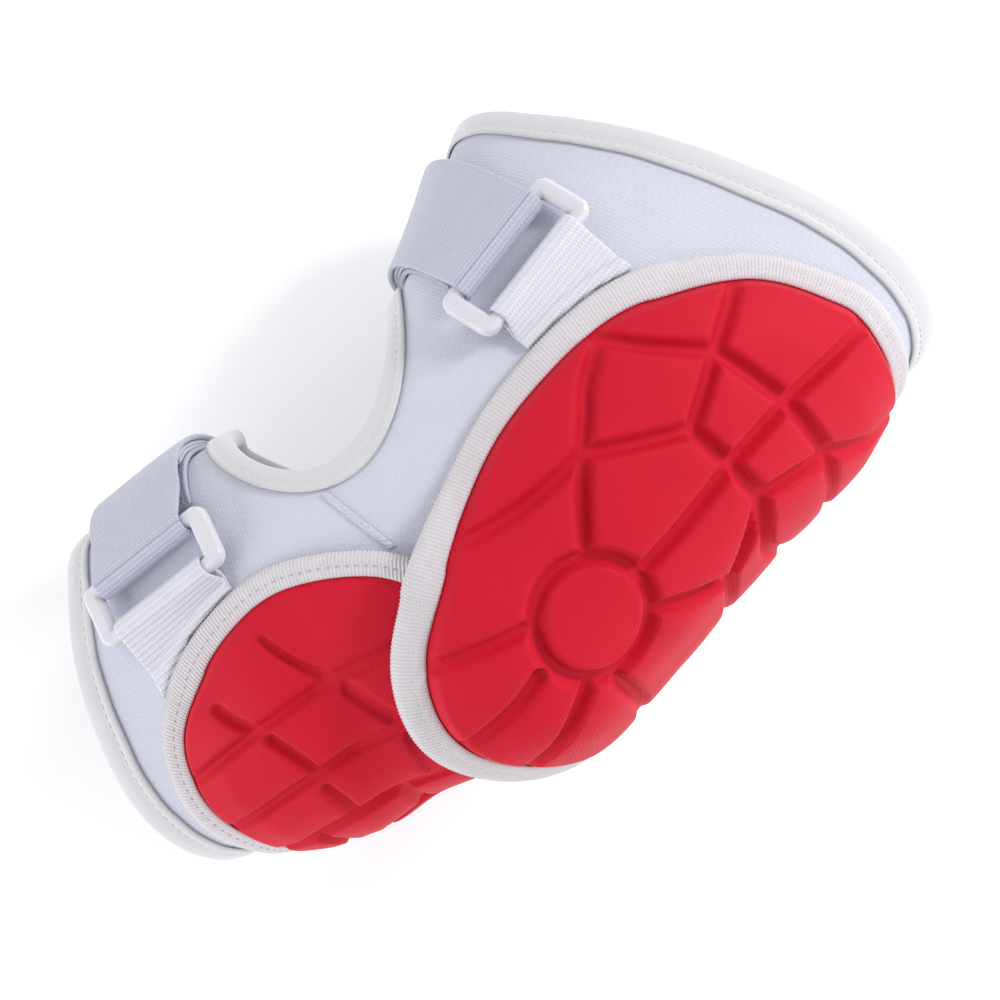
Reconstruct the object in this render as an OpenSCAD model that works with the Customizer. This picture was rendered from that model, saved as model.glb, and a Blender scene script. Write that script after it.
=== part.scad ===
// Batter's elbow guard: an oval knit sleeve with two overlapping moulded pads
// and two strap-and-loop closures. Millimetres. The origin is the elbow's pivot,
// +X runs towards the upper arm, +Y towards the crook of the elbow, +Z is up.

/* [Sleeve] */
// Length from the elbow to the upper arm opening
upper_len = 112; // [90:1:140]
// Length from the elbow to the forearm opening
forearm_len = 106; // [86:1:132]
// Width of the upper arm opening
upper_opening_w = 150; // [122:1:184]
// Depth of the upper arm opening
upper_opening_d = 94; // [76:1:116]
// Width halfway up the upper arm
upper_mid_w = 126; // [102:1:154]
// Depth halfway up the upper arm
upper_mid_d = 93; // [76:1:114]
// Width at the elbow
elbow_w = 116; // [95:1:140]
// Depth at the elbow
elbow_d = 88; // [72:1:108]
// Width halfway down the forearm
forearm_mid_w = 115; // [94:1:140]
// Depth halfway down the forearm
forearm_mid_d = 82; // [67:1:100]
// Width of the forearm opening
forearm_opening_w = 103; // [84:1:126]
// Depth of the forearm opening
forearm_opening_d = 72; // [60:1:88]
// Thickness of the sleeve's knit
sleeve_t = 2.5; // [1.8:0.1:3.5]
// Width of the elastic binding on both hems and round the crook window
hem_w = 7; // [5:0.5:10]

/* [Crook window] */
// Length of the window along the arm
window_len = 92; // [74:1:112]
// Reach of the window over the top, in degrees round the sleeve
window_top = 57; // [45:1:66]
// Reach of the window underneath, in degrees round the sleeve
window_under = 50; // [40:1:60]

/* [Pads] */
// Height of the elbow pad over the sleeve
elbow_pad_h = 10.5; // [8:0.5:14]
// Height of the forearm pad over the sleeve
forearm_pad_h = 8; // [6:0.5:11]
// Width of the ribbed binding round each pad
pad_binding_w = 7; // [5:0.5:9]
// Height that the binding stands over the surface it lies on
pad_binding_h = 3.7; // [3:0.1:5]
// How far the elbow pad's tip is raised to lie on the forearm pad
pad_overlap_lift = 7.5; // [6:0.5:9]

/* [Straps] */
// Width of both elastic straps
strap_w = 32; // [26:1:38]
// Thickness of the elastic
strap_t = 1.6; // [1.2:0.1:2]
// Thickness of the webbing tabs
tab_t = 1.3; // [1:0.1:1.6]
// Room between the upper strap's loop and the upper hem
upper_strap_room = 21; // [17:1:28]
// Room between the forearm strap's loop and the forearm hem
forearm_strap_room = 9; // [7:1:16]
// Width of a loop's end bars
loop_end_w = 6; // [4:0.5:8]
// Width of a loop across its two long bars
loop_h = 20.6; // [18:0.2:25]
// Thickness of a loop's end bars
loop_t = 3.6; // [3:0.1:4.5]
// Diameter of a loop's long bars
bar_d = 4.4; // [3.6:0.1:5]
// Corner radius of a loop
loop_r = 4; // [2:0.5:6]

/* [Hidden] */

// Colours
FABRIC = [0.88, 0.89, 0.96];
ELASTIC = [0.93, 0.93, 0.95];
WEB = [0.8, 0.82, 0.92];
RED = [0.86, 0.12, 0.18];
DARK = [0.3, 0.3, 0.32];
PLASTIC = [0.97, 0.97, 0.98];

GAP = 0.35;          // air between two soft layers
SKIN_GAP = 0.6;      // air under a pad or a binding that follows the sleeve
FINE_GAP = 0.25;     // air round a bar inside its webbing
SECTION_POWER = 2.3; // 2 is an ellipse, more is squarer
ROUND = 44;          // facets round the sleeve

// ---- The sleeve's surface --------------------------------------------------
// A point on it is (s, th): s is the distance from the elbow along the arm,
// positive up the upper arm, and th the angle round the arm, 0 at the crook,
// 90 on top and 180 at the back. surf(s, th, n) stands n off the surface.

ELBOW_CENTRE = [0, -9, 12];
UPPER_MID = ELBOW_CENTRE + upper_len / 2 * heading(12, -6);
UPPER_END = UPPER_MID + upper_len / 2 * heading(16, -19);
FOREARM_MID = ELBOW_CENTRE - forearm_len / 2 * heading(-18, 12);
FOREARM_END = FOREARM_MID - forearm_len / 2 * heading(-12, 25);

// [s, x, y, z, turn, pitch, half width, half depth]
STATIONS = [
    [-forearm_len, each FOREARM_END, -14, 24, forearm_opening_w / 2, forearm_opening_d / 2],
    [-forearm_len / 2, each FOREARM_MID, -12, 15, forearm_mid_w / 2, forearm_mid_d / 2],
    [0, each ELBOW_CENTRE, 3, 2, elbow_w / 2, elbow_d / 2],
    [upper_len / 2, each UPPER_MID, 18, -11, upper_mid_w / 2, upper_mid_d / 2],
    [upper_len, each UPPER_END, 24, -20, upper_opening_w / 2, upper_opening_d / 2],
];
LAST = len(STATIONS) - 1;
SLOPES = [for (i = [0:LAST])
    let (a = STATIONS[max(i - 1, 0)], b = STATIONS[min(i + 1, LAST)]) (b - a) / (b[0] - a[0])];

function heading(turn, climb) = [cos(climb) * cos(turn), cos(climb) * sin(turn), sin(climb)];
function unit(v) = v / norm(v);
function clamp(v) = min(1, max(0, v));
function smooth(v) = let (t = clamp(v)) t * t * (3 - 2 * t);
function power(v) = sign(v) * pow(abs(v), 2 / SECTION_POWER);

function segment(s) = s < STATIONS[1][0] ? 0 : s < STATIONS[2][0] ? 1 : s < STATIONS[3][0] ? 2 : 3;
function section(s) =
    let (i = segment(s), a = STATIONS[i], b = STATIONS[i + 1], h = b[0] - a[0], f = (s - a[0]) / h,
         g = f * f, c = g * f)
    (2 * c - 3 * g + 1) * a + (c - 2 * g + f) * h * SLOPES[i]
    + (3 * g - 2 * c) * b + (c - g) * h * SLOPES[i + 1];

function skin(s, th) =
    let (q = section(s), t = q[4], p = q[5], across = [-sin(t), cos(t), 0],
         up = [-sin(p) * cos(t), -sin(p) * sin(t), cos(p)])
    [q[1], q[2], q[3]] + q[6] * power(cos(th)) * across + q[7] * power(sin(th)) * up;
function along(s, th) = (skin(s + 1, th) - skin(s - 1, th)) / 2;
function around(s, th) = (skin(s, th + 1) - skin(s, th - 1)) / 2;
function normal(s, th) = unit(cross(around(s, th), along(s, th)));
function surf(s, th, n) = skin(s, th) + n * normal(s, th);

// ---- Mesh builders ---------------------------------------------------------
// Rows of points, each a closed loop. A ring of rows is closed on itself, a bar
// of rows is capped at both ends, and a disc of rows ends in two middle points.

function quads(rows, cols, wrap) = [
    for (i = [0:rows - (wrap ? 1 : 2)], j = [0:cols - 1])
        let (k = (j + 1) % cols, m = (i + 1) % rows,
             a = i * cols + j, b = i * cols + k, c = m * cols + k, d = m * cols + j)
        each [[a, b, c], [a, c, d]]];
function flat(rows) = [for (row = rows) each row];

module ring_mesh(rows)
    polyhedron(flat(rows), quads(len(rows), len(rows[0]), true));

// Each row lists one side and then the other side backwards.
module bar_mesh(rows) {
    cols = len(rows[0]);
    last = (len(rows) - 1) * cols;
    caps = [for (k = [0:cols / 2 - 2])
        let (a = k, b = k + 1, c = cols - 2 - k, d = cols - 1 - k)
        each [[a, c, b], [a, d, c], [last + a, last + b, last + c], [last + a, last + c, last + d]]];
    polyhedron(flat(rows), concat(quads(len(rows), cols, false), caps));
}

module disc_mesh(rows, first, last) {
    cols = len(rows[0]);
    n = len(rows) * cols;
    base = n - cols;
    fans = [for (j = [0:cols - 1])
        let (k = (j + 1) % cols) each [[n, k, j], [n + 1, base + j, base + k]]];
    polyhedron([each flat(rows), first, last], concat(quads(len(rows), cols, false), fans));
}

// ---- Sleeve, seam and bindings ---------------------------------------------

WINDOW_S = 0;
WINDOW_TH = -15;
WINDOW_SKEW = 18;    // how much deeper the window is on the forearm's side
WINDOW_POWER = 2.4;
WINDOW_END = 4;      // degrees of the window's curve left to the neighbouring tubes
SLEEVE_ROWS = 7;
ELBOW_ROWS = 18;

function window_power(v) = sign(v) * pow(abs(v), 2 / WINDOW_POWER);
function window_edge(a) =
    let (t = window_power(cos(a)), v = window_power(sin(a)))
    [WINDOW_S + window_len / 2 * t,
     WINDOW_TH + v * (v > 0 ? window_top - WINDOW_SKEW * t : window_under)];

module tube(s0, s1) {
    outer = [for (i = [0:SLEEVE_ROWS]) s0 + (s1 - s0) * i / SLEEVE_ROWS];
    inner = [for (i = [SLEEVE_ROWS:-1:0]) outer[i]];
    ring_mesh([for (k = [0:ROUND - 1]) let (th = -360 * k / ROUND)
        concat([for (s = outer) surf(s, th, 0)], [for (s = inner) surf(s, th, -sleeve_t)])]);
}

module upper_sleeve()
    color(FABRIC) tube(WINDOW_S + window_len / 2 + GAP, upper_len);

module forearm_sleeve()
    color(FABRIC) tube(-forearm_len, WINDOW_S - window_len / 2 - GAP);

module elbow_sleeve() {
    cols = 28;
    color(FABRIC) bar_mesh([for (i = [0:ELBOW_ROWS])
        let (a = WINDOW_END + (180 - 2 * WINDOW_END) * i / ELBOW_ROWS,
             top = window_edge(a), under = window_edge(-a), turn = 360 + under[1] - top[1])
        concat([for (k = [0:cols]) surf(top[0], top[1] + turn * k / cols, 0)],
               [for (k = [cols:-1:0]) surf(top[0], top[1] + turn * k / cols, -sleeve_t)])]);
}

// A folded elastic tape seen in section: [distance in from the edge, height].
BAND_T = 0.8;
function fold_section(width, air) = [
    [width, air], [width, air + BAND_T], [-air - BAND_T, air + BAND_T],
    [-air - BAND_T, -sleeve_t - air - BAND_T], [width, -sleeve_t - air - BAND_T],
    [width, -sleeve_t - air], [-air, -sleeve_t - air], [-air, air]];

module hem(edge, inward)
    color(ELASTIC) ring_mesh([for (k = [0:ROUND - 1]) let (th = inward * 360 * k / ROUND)
        [for (p = fold_section(hem_w, GAP)) surf(edge + inward * p[0], th, p[1])]]);

module upper_hem() hem(upper_len, -1);
module forearm_hem() hem(-forearm_len, 1);

module crook_binding() {
    steps = 52;
    color(ELASTIC) ring_mesh([for (k = [0:steps - 1])
        let (a = 360 * k / steps, e = window_edge(a), f = window_edge(a + 1), b = window_edge(a - 1),
             u = norm(along(e[0], e[1])), v = norm(around(e[0], e[1])),
             d = unit([(f[0] - b[0]) * u, (f[1] - b[1]) * v]))
        [for (p = fold_section(hem_w, SKIN_GAP)) surf(e[0] + p[0] * d[1] / u, e[1] - p[0] * d[0] / v, p[1])]]);
}

SEAM_W = 2.2;
SEAM_T = 0.7;
SEAM_START = [-21, 62];
SEAM_END = [-16, 76];
module elbow_seam() {
    rows = 5;
    color(ELASTIC) bar_mesh([for (i = [0:rows])
        let (p = SEAM_START + (SEAM_END - SEAM_START) * i / rows)
        strip_row(p[0], p[1], SEAM_W, 0, GAP, GAP + SEAM_T)]);
}

// ---- Pads ------------------------------------------------------------------
// Each outline is a closed smooth curve through points on the sleeve's surface.
// The pads reach as far as the sleeve's openings leave them room.

ELBOW_PAD_REACH = upper_len - 13;
FOREARM_PAD_REACH = forearm_len - 9;
function fitted(p) = [p[0] * (p[0] < 0 ? FOREARM_PAD_REACH / 97 : ELBOW_PAD_REACH / 99), p[1]];

ELBOW_OUTLINE = [for (p = [
    [99, 138], [95, 108], [78, 86], [50, 75], [22, 72], [-6, 82], [-28, 101],
    [-38, 128], [-34, 160], [-15, 190], [20, 208], [60, 210], [89, 190]]) fitted(p)];
ELBOW_MIDDLE = fitted([33, 138]);
FOREARM_OUTLINE = [for (p = [
    [-6, 100], [-16, 80], [-42, 74], [-70, 81], [-90, 95], [-97, 120], [-97, 155],
    [-90, 186], [-66, 204], [-36, 206], [-12, 186], [-5, 145]]) fitted(p)];
FOREARM_MIDDLE = fitted([-52, 138]);

function spline(loop, k, f) =
    let (n = len(loop), a = loop[(k + n - 1) % n], b = loop[k], c = loop[(k + 1) % n],
         d = loop[(k + 2) % n])
    b + f / 2 * (c - a) + f * f / 2 * (2 * a - 5 * b + 4 * c - d)
    + f * f * f / 2 * (3 * b - 3 * c + d - a);
function outline(loop, steps) = [for (k = [0:len(loop) - 1], i = [0:steps - 1]) spline(loop, k, i / steps)];
ELBOW_EDGE = outline(ELBOW_OUTLINE, 4);
FOREARM_EDGE = outline(FOREARM_OUTLINE, 3);

// Where the outline's top side crosses a distance s along the arm.
function edge_angle(edge, s) = min([for (i = [0:len(edge) - 1])
    let (a = edge[i], b = edge[(i + 1) % len(edge)])
    if ((a[0] - s) * (b[0] - s) <= 0 && a[0] != b[0])
        a[1] + (b[1] - a[1]) * (s - a[0]) / (b[0] - a[0])]);

// The elbow pad rises over the forearm pad, and the forearm pad thins out under it.
function elbow_lift(s) = SKIN_GAP + pad_overlap_lift * smooth((16 - s) / 32);
function forearm_lift(s) = SKIN_GAP;
function elbow_height(s) = elbow_pad_h;
function forearm_height(s) = pad_binding_h + (forearm_pad_h - pad_binding_h) * smooth((-42 - s) / 20);

FLANGE_GAP = 0.25;   // air round the pad's edge inside its binding
FOAM_GAP = 0.7;      // air round the foam inside its covers
TAPE_T = 0.7;
BACKING_T = 0.5;
COVER_T = 0.9;
CROWN_RISE = 7;      // how far in from the binding the pad reaches its full height
EDGE_INSET = TAPE_T + FLANGE_GAP;
INSETS = [EDGE_INSET, pad_binding_w + 0.6, pad_binding_w + 2.2, pad_binding_w + 4.4, pad_binding_w + 7.6];
FOAM_INSETS = [for (i = [2:4]) INSETS[i]];
ELBOW_SHARES = [0.86, 0.72, 0.58, 0.44, 0.3, 0.15];
FOREARM_SHARES = [0.8, 0.6, 0.4, 0.2];

function inset(edge_point, middle, d, share) =
    let (v = edge_point - middle, k = norm(v)) middle + v * (k - d) / k * share;

// Heights over the pad's own base, d in from its edge.
function backing_base(d) = d > pad_binding_w + 2 ? 0 : TAPE_T + FLANGE_GAP;
function cover_top(d, height) =
    let (flange = pad_binding_h - TAPE_T - FLANGE_GAP)
    flange + (height - flange) * sin(90 * clamp((d - pad_binding_w - 0.6) / CROWN_RISE));

// Rings of [inset, share of the way out from the middle], from the edge inwards.
function rings(insets, shares) = concat([for (d = insets) [d, 1]],
                                        [for (f = shares) [insets[len(insets) - 1], f]]);

// layer: 0 backing, 1 foam, 2 cover. Returns [under, over] heights at inset d.
function layer_heights(layer, d, height) =
    let (top = cover_top(d, height), base = backing_base(d))
    layer == 0 ? [base, base + BACKING_T]
    : layer == 1 ? [base + BACKING_T + FOAM_GAP, top - COVER_T - FOAM_GAP]
    : [top - COVER_T, top];

module pad_layer(edge, middle, layer, pad) {
    list = rings(layer == 1 ? FOAM_INSETS : INSETS, pad == 0 ? ELBOW_SHARES : FOREARM_SHARES);
    function lift(s) = pad == 0 ? elbow_lift(s) : forearm_lift(s);
    function tall(s) = pad == 0 ? elbow_height(s) : forearm_height(s);
    function at(q, d, side) =
        surf(q[0], q[1], lift(q[0]) + layer_heights(layer, d, tall(q[0]))[side]);
    over = [for (i = [len(list) - 1:-1:0])
        [for (e = edge) at(inset(e, middle, list[i][0], list[i][1]), list[i][0], 1)]];
    under = [for (r = list)
        [for (e = edge) at(inset(e, middle, r[0], r[1]), r[0], 0)]];
    deep = list[len(list) - 1][0];
    disc_mesh(concat(over, under), at(middle, deep, 1), at(middle, deep, 0));
}

// A folded ribbed tape round the pad's edge: [inset, height over the pad's base].
BINDING_SECTION = [
    [pad_binding_w, 0], [0, 0], [0, pad_binding_h], [pad_binding_w, pad_binding_h],
    [pad_binding_w, pad_binding_h - TAPE_T],
    [TAPE_T, pad_binding_h - TAPE_T], [TAPE_T, TAPE_T], [pad_binding_w, TAPE_T]];
module pad_binding(edge, middle, pad)
    ring_mesh([for (e = edge)
        [for (p = BINDING_SECTION) let (q = inset(e, middle, p[0], 1))
            surf(q[0], q[1], (pad == 0 ? elbow_lift(q[0]) : forearm_lift(q[0])) + p[1])]]);

module elbow_pad_backing() color(DARK) pad_layer(ELBOW_EDGE, ELBOW_MIDDLE, 0, 0);
module elbow_pad_foam() color(DARK) pad_layer(ELBOW_EDGE, ELBOW_MIDDLE, 1, 0);
module elbow_pad_cover() color(RED) pad_layer(ELBOW_EDGE, ELBOW_MIDDLE, 2, 0);
module elbow_pad_binding() color(ELASTIC) pad_binding(ELBOW_EDGE, ELBOW_MIDDLE, 0);
module forearm_pad_backing() color(DARK) pad_layer(FOREARM_EDGE, FOREARM_MIDDLE, 0, 1);
module forearm_pad_foam() color(DARK) pad_layer(FOREARM_EDGE, FOREARM_MIDDLE, 1, 1);
module forearm_pad_cover() color(RED) pad_layer(FOREARM_EDGE, FOREARM_MIDDLE, 2, 1);
module forearm_pad_binding() color(ELASTIC) pad_binding(FOREARM_EDGE, FOREARM_MIDDLE, 1);

// ---- Straps ----------------------------------------------------------------
// A closure is [loop's s, loop's th, skew]: a strap leaves its loop at the skew
// angle and straightens as it goes round the crook and underneath.

UPPER = [upper_len - hem_w - upper_strap_room - strap_w / 2, 59, 12];
FOREARM = [-(forearm_len - hem_w - forearm_strap_room - strap_w / 2), 62, -8];
STRAIGHTEN = 100;    // degrees round the arm over which a strap straightens
RING_N = 5.6;        // height of a loop's bars over the sleeve
BAR_Y = (loop_h - bar_d) / 2;
WRAP_R = bar_d / 2 + FINE_GAP;

function strip_point(s, th, x, skew, n) =
    surf(s + x * cos(skew) / norm(along(s, th)), th + x * sin(skew) / norm(around(s, th)), n);
ACROSS = 3;          // facets across a strap
function offsets(width) = [for (i = [0:ACROSS]) width / 2 - width * i / ACROSS];
function back(list) = [for (i = [len(list) - 1:-1:0]) list[i]];
function strip_row(s, th, width, skew, low, high) = concat(
    [for (x = offsets(width)) strip_point(s, th, x, skew, low)],
    [for (x = back(offsets(width))) strip_point(s, th, x, skew, high)]);

function wander(c, th) = clamp((c[1] - th) / STRAIGHTEN);
function strap_s(c, th) =
    let (t = wander(c, th)) c[0] + tan(c[2]) * STRAIGHTEN * norm(around(c[0], c[1])) * (t - t * t / 2);
function strap_row(c, th, width, low, high) =
    strip_row(strap_s(c, th), th, width, c[2] * (1 - wander(c, th)), low, high);

// The loop's own frame: x along its bars, y towards the crook, z out of the sleeve.
function loop_x(c) =
    let (a = unit(along(c[0], c[1])), b = unit(around(c[0], c[1]))) cos(c[2]) * a + sin(c[2]) * b;
function loop_z(c) = normal(c[0], c[1]);
function loop_y(c) = cross(loop_z(c), loop_x(c));
function in_loop(c, x, y, z) = surf(c[0], c[1], RING_N) + x * loop_x(c) + y * loop_y(c) + z * loop_z(c);
function loop_row(c, width, y0, z0, y1, z1) = concat(
    [for (x = offsets(width)) in_loop(c, x, y0, z0)],
    [for (x = back(offsets(width))) in_loop(c, x, y1, z1)]);
// Webbing of thickness t at angle a round a bar centred at y.
function wrap_row(c, width, y, a, t) =
    loop_row(c, width, y + (WRAP_R + t) * cos(a), (WRAP_R + t) * sin(a), y + WRAP_R * cos(a), WRAP_R * sin(a));

module in_loop_frame(c) {
    x = loop_x(c); y = loop_y(c); z = loop_z(c); o = in_loop(c, 0, 0, 0);
    multmatrix([[x[0], y[0], z[0], o[0]], [x[1], y[1], z[1], o[1]], [x[2], y[2], z[2], o[2]], [0, 0, 0, 1]])
        children();
}

LOOP_CLEAR = 1;      // room beside the strap inside the loop
LOOP_W = strap_w + 2 * LOOP_CLEAR + 2 * loop_end_w;
module rounded_plate(w, h, r, t)
    linear_extrude(t, center = true) {
        square([w - 2 * r, h], center = true);
        square([w, h - 2 * r], center = true);
        for (x = [-1, 1], y = [-1, 1]) translate([x * (w / 2 - r), y * (h / 2 - r)]) circle(r, $fn = 48);
    }
module ring(c)
    color(PLASTIC) in_loop_frame(c) {
        difference() {
            rounded_plate(LOOP_W, loop_h, loop_r, loop_t);
            cube([LOOP_W - 2 * loop_end_w, loop_h + 2, loop_t + 2], center = true);
        }
        for (y = [-BAR_Y, BAR_Y]) translate([0, y, 0]) rotate([0, 90, 0])
            cylinder(d = bar_d, h = LOOP_W - 2 * loop_r, center = true, $fn = 48);
    }

// The tab runs from the pad's edge under the loop's bar, round it and back on top.
TAB_LOW = GAP;
TAB_HIGH = TAB_LOW + tab_t + GAP;
module tab(c, edge) {
    near = [norm(along(c[0], c[1])), norm(around(c[0], c[1]))];
    far = norm(along(c[0], c[1] + TAB_REACH));
    function at(x, share, n) =
        let (a = [c[0] + x * cos(c[2]) / near[0], c[1] + x * sin(c[2]) / near[1]],
             s = c[0] + (x * cos(c[2]) - TAB_REACH * sin(c[2])) / far,
             p = a + ([s, edge_angle(edge, s) - TAB_EDGE_GAP] - a) * share)
        surf(p[0], p[1], n);
    function row(share, n, m) = concat([for (x = offsets(strap_w)) at(x, share, n)],
                                       [for (x = back(offsets(strap_w))) at(x, share, m)]);
    under = [for (share = [1, 0.82, 0.66]) row(share, TAB_LOW, TAB_LOW + tab_t)];
    wrap = [for (a = [-90:22:130]) wrap_row(c, strap_w, -BAR_Y, a, tab_t)];
    over = [for (share = [0.82, 1]) row(share, TAB_HIGH + tab_t, TAB_HIGH)];
    color(PLASTIC) bar_mesh(concat(under, wrap, over));
}
TAB_REACH = 20;      // roughly, from the loop's middle to the pad's edge
TAB_EDGE_GAP = 0.9;  // degrees left between the tab and the pad's binding

STRAP_LOW = GAP;
PATCH_T = 0.7;
LOOP_PATCH_LOW = STRAP_LOW + strap_t + GAP;
HOOK_PATCH_LOW = LOOP_PATCH_LOW + PATCH_T + GAP;
TAIL_LOW = HOOK_PATCH_LOW + PATCH_T + GAP;
STRAP_STEP = 8;
PATCH_MARGIN = 2;
STRAP_END = -136;
TAIL_END = -44;
PATCH_START = 20;
PATCH_END = -40;

module strap(c)
    color(WEB) bar_mesh([for (th = [STRAP_END:STRAP_STEP:c[1] - 13])
        strap_row(c, th, strap_w, STRAP_LOW, STRAP_LOW + strap_t)]);

module strap_fold(c)
    color(WEB) bar_mesh([for (a = [262:-21:94]) wrap_row(c, strap_w, BAR_Y, a, strap_t)]);

module tail(c) {
    lead = [for (y = [0.6, 2.2])
        loop_row(c, strap_w, BAR_Y + y, WRAP_R + strap_t - y * y / 12, BAR_Y + y, WRAP_R - y * y / 12)];
    lie = [for (th = [c[1] - 24:-STRAP_STEP:TAIL_END])
        strap_row(c, th, strap_w, TAIL_LOW + strap_t, TAIL_LOW)];
    color(WEB) bar_mesh(concat(lead, lie));
}

module patch(c, low)
    color(FABRIC) bar_mesh([for (th = [PATCH_END:STRAP_STEP - 2:PATCH_START])
        strap_row(c, th, strap_w - 2 * PATCH_MARGIN, low, low + PATCH_T)]);

module upper_tab() tab(UPPER, ELBOW_EDGE);
module upper_strap() strap(UPPER);
module upper_loop_patch() patch(UPPER, LOOP_PATCH_LOW);
module upper_ring() ring(UPPER);
module upper_strap_fold() strap_fold(UPPER);
module upper_tail() tail(UPPER);
module upper_hook_patch() patch(UPPER, HOOK_PATCH_LOW);
module forearm_tab() tab(FOREARM, FOREARM_EDGE);
module forearm_strap() strap(FOREARM);
module forearm_loop_patch() patch(FOREARM, LOOP_PATCH_LOW);
module forearm_ring() ring(FOREARM);
module forearm_strap_fold() strap_fold(FOREARM);
module forearm_tail() tail(FOREARM);
module forearm_hook_patch() patch(FOREARM, HOOK_PATCH_LOW);

upper_sleeve();
elbow_sleeve();
elbow_seam();
upper_hem();
crook_binding();
elbow_pad_backing();
elbow_pad_foam();
elbow_pad_cover();
elbow_pad_binding();
upper_tab();
upper_strap();
upper_loop_patch();
upper_ring();
upper_strap_fold();
upper_tail();
upper_hook_patch();
forearm_sleeve();
forearm_hem();
forearm_pad_backing();
forearm_pad_foam();
forearm_pad_cover();
forearm_pad_binding();
forearm_tab();
forearm_strap();
forearm_loop_patch();
forearm_ring();
forearm_strap_fold();
forearm_tail();
forearm_hook_patch();
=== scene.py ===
"""A batter's elbow guard: a knit sleeve, two moulded pads and two strap closures.

Lengths in the classes below are millimetres; meshes are stored in metres. A place
on the sleeve is (s, th): s runs from the elbow along the arm, positive up the upper
arm, and th goes round it, 0 at the crook, 90 on top and 180 at the back.
"""

import logging
import math
from dataclasses import dataclass, field
from enum import Enum

import bpy
import bmesh
import numpy as np
from mathutils import Matrix, Vector


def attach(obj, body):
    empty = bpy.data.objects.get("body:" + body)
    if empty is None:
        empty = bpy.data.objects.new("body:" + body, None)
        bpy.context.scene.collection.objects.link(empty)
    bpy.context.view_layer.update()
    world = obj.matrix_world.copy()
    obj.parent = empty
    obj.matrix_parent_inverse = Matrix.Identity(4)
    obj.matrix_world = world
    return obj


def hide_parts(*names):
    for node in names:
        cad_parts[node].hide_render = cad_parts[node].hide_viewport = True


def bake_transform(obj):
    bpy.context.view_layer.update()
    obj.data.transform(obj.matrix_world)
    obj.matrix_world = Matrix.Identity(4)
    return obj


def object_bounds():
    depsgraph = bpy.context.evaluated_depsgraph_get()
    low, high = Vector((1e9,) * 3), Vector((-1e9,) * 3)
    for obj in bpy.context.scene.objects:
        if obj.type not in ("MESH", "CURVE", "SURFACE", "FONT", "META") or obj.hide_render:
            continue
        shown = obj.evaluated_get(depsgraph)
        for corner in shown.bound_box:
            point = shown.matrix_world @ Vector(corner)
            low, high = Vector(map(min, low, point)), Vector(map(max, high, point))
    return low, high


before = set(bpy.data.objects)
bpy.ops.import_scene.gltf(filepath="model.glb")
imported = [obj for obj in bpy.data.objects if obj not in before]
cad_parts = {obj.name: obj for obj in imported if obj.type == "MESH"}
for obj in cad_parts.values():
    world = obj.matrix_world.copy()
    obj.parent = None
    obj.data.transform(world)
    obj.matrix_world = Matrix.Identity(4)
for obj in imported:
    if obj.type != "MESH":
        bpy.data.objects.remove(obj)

LOG = logging.getLogger("elbow_guard")
CAD_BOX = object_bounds()
MM = 0.001
SLEEVE_T = 2.5
HEM_W = 7.0
BINDING_W = 7.0
Point = tuple[float, float]
Colour = tuple[float, float, float]


class Cuff(Enum):
    """The bodies that the guard's pieces move with."""

    UPPER = "upper_cuff"
    FOREARM = "forearm_cuff"


class Slot(Enum):
    """The material slots."""

    KNIT = "knit"
    ELASTIC_TAPE = "elastic_tape"
    RIBBED_TAPE = "ribbed_tape"
    RED_FABRIC = "red_fabric"
    FOAM = "foam"
    LINER = "liner"
    WEBBING = "webbing"
    ELASTIC_STRAP = "elastic_strap"
    HOOK_AND_LOOP = "hook_and_loop"
    LOOP_PLASTIC = "loop_plastic"


# ---- Small maths ---------------------------------------------------------------


def smooth(value: np.ndarray) -> np.ndarray:
    """A soft step from 0 to 1."""
    t = np.clip(value, 0.0, 1.0)
    return t * t * (3.0 - 2.0 * t)


def signed_power(value: np.ndarray, power: float) -> np.ndarray:
    """The coordinate of a superellipse of that power."""
    return np.sign(value) * np.abs(value) ** (2.0 / power)


def unit(vectors: np.ndarray) -> np.ndarray:
    """The vectors, each one long."""
    return vectors / np.maximum(np.linalg.norm(vectors, axis=-1, keepdims=True), 1e-12)


def closed_spline(points: list[Point], steps: int) -> np.ndarray:
    """A smooth closed curve through the points.

    Args:
        points: The curve's own points, in order.
        steps: How many places it gets from one point to the next.

    Returns:
        One row for each place.
    """
    p = np.asarray(points, float)
    f = (np.arange(steps) / steps)[None, :, None]
    a, b = np.roll(p, 1, 0)[:, None], p[:, None]
    c, d = np.roll(p, -1, 0)[:, None], np.roll(p, -2, 0)[:, None]
    curve = b + f / 2 * (c - a) + f**2 / 2 * (2 * a - 5 * b + 4 * c - d) + f**3 / 2 * (3 * b - 3 * c + d - a)
    return curve.reshape(-1, p.shape[1])


def open_spline(points: np.ndarray, spacing: float) -> np.ndarray:
    """A smooth open curve through the points, with places about a spacing apart.

    Args:
        points: An array whose first axis runs along the curve.
        spacing: The distance between two places, measured down the middle.

    Returns:
        The array with more places on its first axis.
    """
    p = np.asarray(points, float)
    ends = np.concatenate([2 * p[:1] - p[1:2], p, 2 * p[-1:] - p[-2:-1]])
    middle = p if p.ndim == 2 else p[:, p.shape[1] // 2]
    rows = []
    for i in range(len(p) - 1):
        steps = max(1, round(float(np.linalg.norm(middle[i + 1] - middle[i])) / spacing))
        a, b, c, d = ends[i : i + 4]
        for f in np.arange(steps) / steps:
            square, cube = 2 * a - 5 * b + 4 * c - d, 3 * b - 3 * c + d - a
            rows.append(b + f / 2 * (c - a) + f**2 / 2 * square + f**3 / 2 * cube)
    rows.append(p[-1])
    return np.array(rows)


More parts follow.
